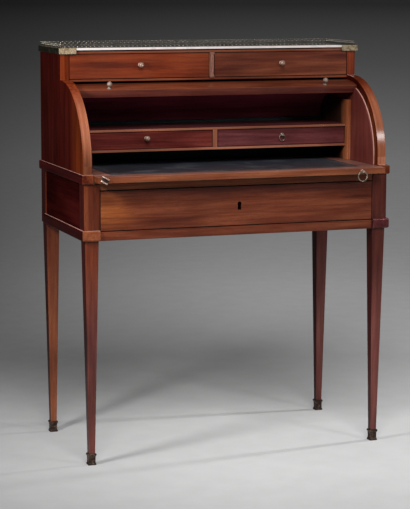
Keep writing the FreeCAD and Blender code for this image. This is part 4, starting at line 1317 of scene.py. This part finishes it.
@dataclass
class WritingSlide:
    """The slide with its leather, its ring pull and the bracket of a lost one.

    Attributes:
        cells_across: The leather's cells from left to right.
        cells_deep: Its cells from front to back.
        hollow: How unevenly the leather lies, in metres.
        rolled_edge: How far in from its border the leather turns down.
        rolled_drop: How far it turns down.
        bracket_tilt: How far the bracket has turned, in degrees.
        bracket_length: The bracket's length, in metres.
        bracket_height: Its height.
        bracket_cut: How much is taken off its corners.
        bracket_plate: The thickness of its plate.
        bracket_bar: The thickness of its bars.
        board_rounding: The width of the board's softened edges.
        ring_rounding: The width of the softened edges of the ring and its post.
    """

    cells_across: int = 90
    cells_deep: int = 44
    hollow: float = 0.14 * MM
    rolled_edge: float = 2.5 * MM
    rolled_drop: float = 0.5 * MM
    bracket_tilt: float = 27.0
    bracket_length: float = 20 * MM
    bracket_height: float = 16 * MM
    bracket_cut: float = 2.5 * MM
    bracket_plate: float = 1.5 * MM
    bracket_bar: float = 4.4 * MM
    board_rounding: float = 1.6 * MM
    ring_rounding: float = 0.25 * MM

    def build(self) -> None:
        """Makes the leather and the bracket."""
        self.lay_leather()
        self.add_bracket()

    def add_bracket(self) -> None:
        """Makes the tilted bracket: a thin plate with cut corners, and two round bars with domed ends."""
        turn = Matrix.Rotation(math.radians(self.bracket_tilt), 4, "Y")
        place = Matrix.Translation(seat_of("slide_bracket")) @ turn
        half, rise, cut = self.bracket_length / 2, self.bracket_height / 2, self.bracket_cut
        corners = [(half, -rise + cut), (half, rise - cut), (half - cut, rise), (-half + cut, rise)]
        corners += [(-x, -z) for x, z in corners]
        plate, bars = bmesh.new(), bmesh.new()
        rings = []
        for depth, scale in ((0.0, 1.0), (0.7, 1.0), (1.0, 0.94)):
            points = [Vector((x * scale, -depth * self.bracket_plate, z * scale)) for x, z in corners]
            rings.append([plate.verts.new(place @ point) for point in points])
        bridge(plate, rings)
        radius = self.bracket_bar / 2
        section = []
        for angle in arc(18):
            shift = math.copysign(half - radius, angle)
            section.append((radius * math.cos(angle), shift + radius * math.sin(angle)))
        along = turn @ Vector((1.0, 0.0, 0.0))
        for sign in (-1, 1):
            middle = place @ Vector((0.0, -self.bracket_plate - radius, sign * (rise - radius)))
            add_turning(bars, section, looking(along, middle), 20)
        add_piece("bracket_plate", plate, DARK_BRONZE, "writing_slide", "slide_bracket")
        add_piece("bracket_bars", bars, ROSY_BRASS, "writing_slide", "slide_bracket")

    def lay_leather(self) -> None:
        """Makes the leather as a thin skin that lies a little unevenly and turns down at its border."""
        low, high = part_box("slide_leather")
        shape = bmesh.new()
        rows = []
        for down in range(self.cells_deep + 1):
            y = low.y + (high.y - low.y) * down / self.cells_deep
            row = []
            for across in range(self.cells_across + 1):
                x = low.x + (high.x - low.x) * across / self.cells_across
                row.append(shape.verts.new((x, y, high.z - self.sag(x, y, low, high))))
            rows.append(row)
        for near, far in zip(rows, rows[1:]):
            for left in range(self.cells_across):
                shape.faces.new((near[left], near[left + 1], far[left + 1], far[left]))
        rim = [edge for edge in shape.edges if edge.is_boundary]
        for item in bmesh.ops.extrude_edge_only(shape, edges=rim)["geom"]:
            if isinstance(item, bmesh.types.BMVert):
                item.co.z = low.z
        glued = ((low.x, low.y), (low.x, high.y), (high.x, high.y), (high.x, low.y))
        shape.faces.new([shape.verts.new((x, y, low.z)) for x, y in glued])
        add_piece("writing_leather", shape, GREEN_LEATHER, "writing_slide", "slide_leather")

    def sag(self, x: float, y: float, low: Vector, high: Vector) -> float:
        """Gives how far the leather lies below its highest level at a point.

        Args:
            x: Across.
            y: Deep.
            low: The leather's lowest corner.
            high: Its highest corner.

        Returns:
            The drop, in metres.
        """
        wave = math.sin(x * 23.0 + 1.3) * math.sin(y * 31.0) + math.sin(x * 11.0 - y * 17.0)
        depth = min(x - low.x, high.x - x, y - low.y, high.y - y)
        rolled = max(0.0, 1.0 - depth / self.rolled_edge)
        return self.hollow * (0.5 + wave / 4) + self.rolled_drop * rolled**2

    def dress(self) -> None:
        """Finishes the board and its brass."""
        dress(SLIDE_WOOD, "slide_board", rounding=self.board_rounding)
        # The ring's post takes the brighter rosy brass as a painted highlight.
        dress(ROSY_BRASS, "slide_ring_post", rounding=self.ring_rounding)
        dress(RING_BRASS, "slide_ring", rounding=self.ring_rounding)


@dataclass
class Interior:
    """Cheeks, shelves and two small drawers behind the writing surface.

    Attributes:
        knob: The knob of the left drawer.
        ring_rounding: The width of the softened edges of the right drawer's ring and post, in metres.
    """

    knob: Knob
    ring_rounding: float = 0.2 * MM

    def build(self) -> None:
        """Makes the knob of the left drawer."""
        self.knob.make("turned_inner_knob", "inner_drawer_knob", "inner_drawer_left")

    def dress(self) -> None:
        """Finishes the fittings and the drawers."""
        dress(CHEEK_WOOD, *pair("cheek"))
        dress(SHELF_WOOD, "shelf_lower", "shelf_upper")
        dress(DIVIDER_WOOD, "shelf_divider")
        dress(SHADED_BACK, "interior_back")
        dress(RUSSET_VENEER, "inner_drawer_front_left")
        dress(INNER_VENEER, "inner_drawer_front_right")
        dress(OAK_DEEP, *pair("inner_drawer_box"))
        dress(RING_BRASS, "inner_drawer_ring_post", "inner_drawer_ring", rounding=self.ring_rounding)


@dataclass(frozen=True)
class Lamp:
    """A soft studio lamp that faces the desk.

    Attributes:
        name: The lamp's name.
        azimuth: Its side, in degrees from the front towards the right.
        elevation: Its height over the horizon, in degrees.
        distance: How far it stands from the desk, in metres.
        size: Its width, in metres.
        power: Its power, in watts.
        mirrored: Whether polished surfaces show it.
    """

    name: str
    azimuth: float
    elevation: float
    distance: float
    size: float
    power: float
    mirrored: bool = True

    def build(self, target: Vector) -> None:
        """Hangs the lamp.

        Args:
            target: The point that it faces.
        """
        side, rise = math.radians(self.azimuth), math.radians(self.elevation)
        away = Vector((math.sin(side) * math.cos(rise), -math.cos(side) * math.cos(rise), math.sin(rise)))
        light = bpy.data.lights.new(self.name, "AREA")
        light.shape = "DISK"
        light.size = self.size
        light.energy = self.power
        lamp = bpy.data.objects.new(self.name, light)
        lamp.location = target + away * self.distance
        lamp.rotation_euler = away.to_track_quat("Z", "Y").to_euler()
        lamp.visible_glossy = self.mirrored
        bpy.context.scene.collection.objects.link(lamp)


@dataclass
class Studio:
    """A plain pale floor, soft lamps and the camera.

    Attributes:
        floor_radius: How far the floor reaches, in metres.
        floor_sides: The points round the floor.
        target: The point that the lamps face.
        lamps: The lamps.
        ambient: The strength of the even light round the desk.
        backdrop: The strength at which the room is seen.
        eye: Where the camera stands.
        aim: The point that it looks at.
        lens: Its focal length, in millimetres.
        roll: How far it leans, in degrees.
        sight: How far it sees, in metres.
    """

    floor_radius: float = 90.0
    floor_sides: int = 96
    target: Place = (0.0, 0.0, 0.55)
    lamps: tuple[Lamp, ...] = (
        Lamp("front", -14.0, 42.0, 5.0, 2.6, 178.0),
        Lamp("near_left", -66.0, 28.0, 1.37, 0.2, 10.5),
        Lamp("near_right", 91.0, 20.0, 2.15, 0.1, 16.0, mirrored=False),
        Lamp("glint", 34.8, 25.6, 2.33, 0.36, 7.5),
    )
    ambient: float = 0.14
    backdrop: float = 0.0085
    eye: Place = (-1.6906, -4.6232, 1.2461)
    aim: Place = (-0.0187, 0.029, 0.4965)
    lens: float = 132.4
    roll: float = 0.17
    sight: float = 200.0

    def build(self) -> None:
        """Makes the floor, the lamps, the surroundings and the camera."""
        shape = bmesh.new()
        bmesh.ops.create_circle(shape, cap_ends=True, segments=self.floor_sides, radius=self.floor_radius)
        mesh = bpy.data.meshes.new("studio_floor")
        shape.to_mesh(mesh)
        shape.free()
        mesh.materials.append(paint(PALE_PAPER))
        floor = bpy.data.objects.new("studio_floor", mesh)
        bpy.context.scene.collection.objects.link(floor)
        for lamp in self.lamps:
            lamp.build(Vector(self.target))
        self.surroundings()
        self.camera()

    def surroundings(self) -> None:
        """Fills the studio with a little even light, and shows it as a dark room."""
        world = bpy.data.worlds.new("studio_room")
        world.use_nodes = True
        bpy.context.scene.world = world
        sheet = NodeSheet(world.node_tree)
        rays = sheet.add("ShaderNodeLightPath").outputs
        seen = sheet.maths("MAXIMUM", rays["Is Camera Ray"], rays["Is Glossy Ray"])
        light = world.node_tree.nodes["Background"]
        strength = sheet.maths("MULTIPLY_ADD", seen, self.backdrop - self.ambient, self.ambient)
        sheet.feed(light.inputs["Color"], (1.0, 1.0, 1.0, 1.0))
        sheet.feed(light.inputs["Strength"], strength)

    def camera(self) -> None:
        """Sets up the camera where the photograph was taken."""
        data = bpy.data.cameras.new("studio_camera")
        data.lens = self.lens
        data.clip_end = self.sight
        camera = bpy.data.objects.new("studio_camera", data)
        ahead = Vector(self.aim) - Vector(self.eye)
        turn = ahead.to_track_quat("-Z", "Y").to_matrix().to_4x4()
        roll = Matrix.Rotation(math.radians(self.roll), 4, "Z")
        camera.matrix_world = Matrix.Translation(self.eye) @ turn @ roll
        bpy.context.scene.collection.objects.link(camera)
        bpy.context.scene.camera = camera
        bpy.context.scene.view_settings.view_transform = "Standard"


def main() -> None:
    """Builds and dresses the desk, one sub-assembly after another."""
    logging.basicConfig(level=logging.INFO, format="%(name)s: %(message)s")
    knob = Knob()
    Studio().build()
    for assembly in (Legs(), Housing(knob), Frieze(knob), MarbleTop(), WritingSlide(), Interior(knob)):
        assembly.build()
        assembly.dress()
    DrawerCase().dress()


if __name__ == "__main__":
    main()
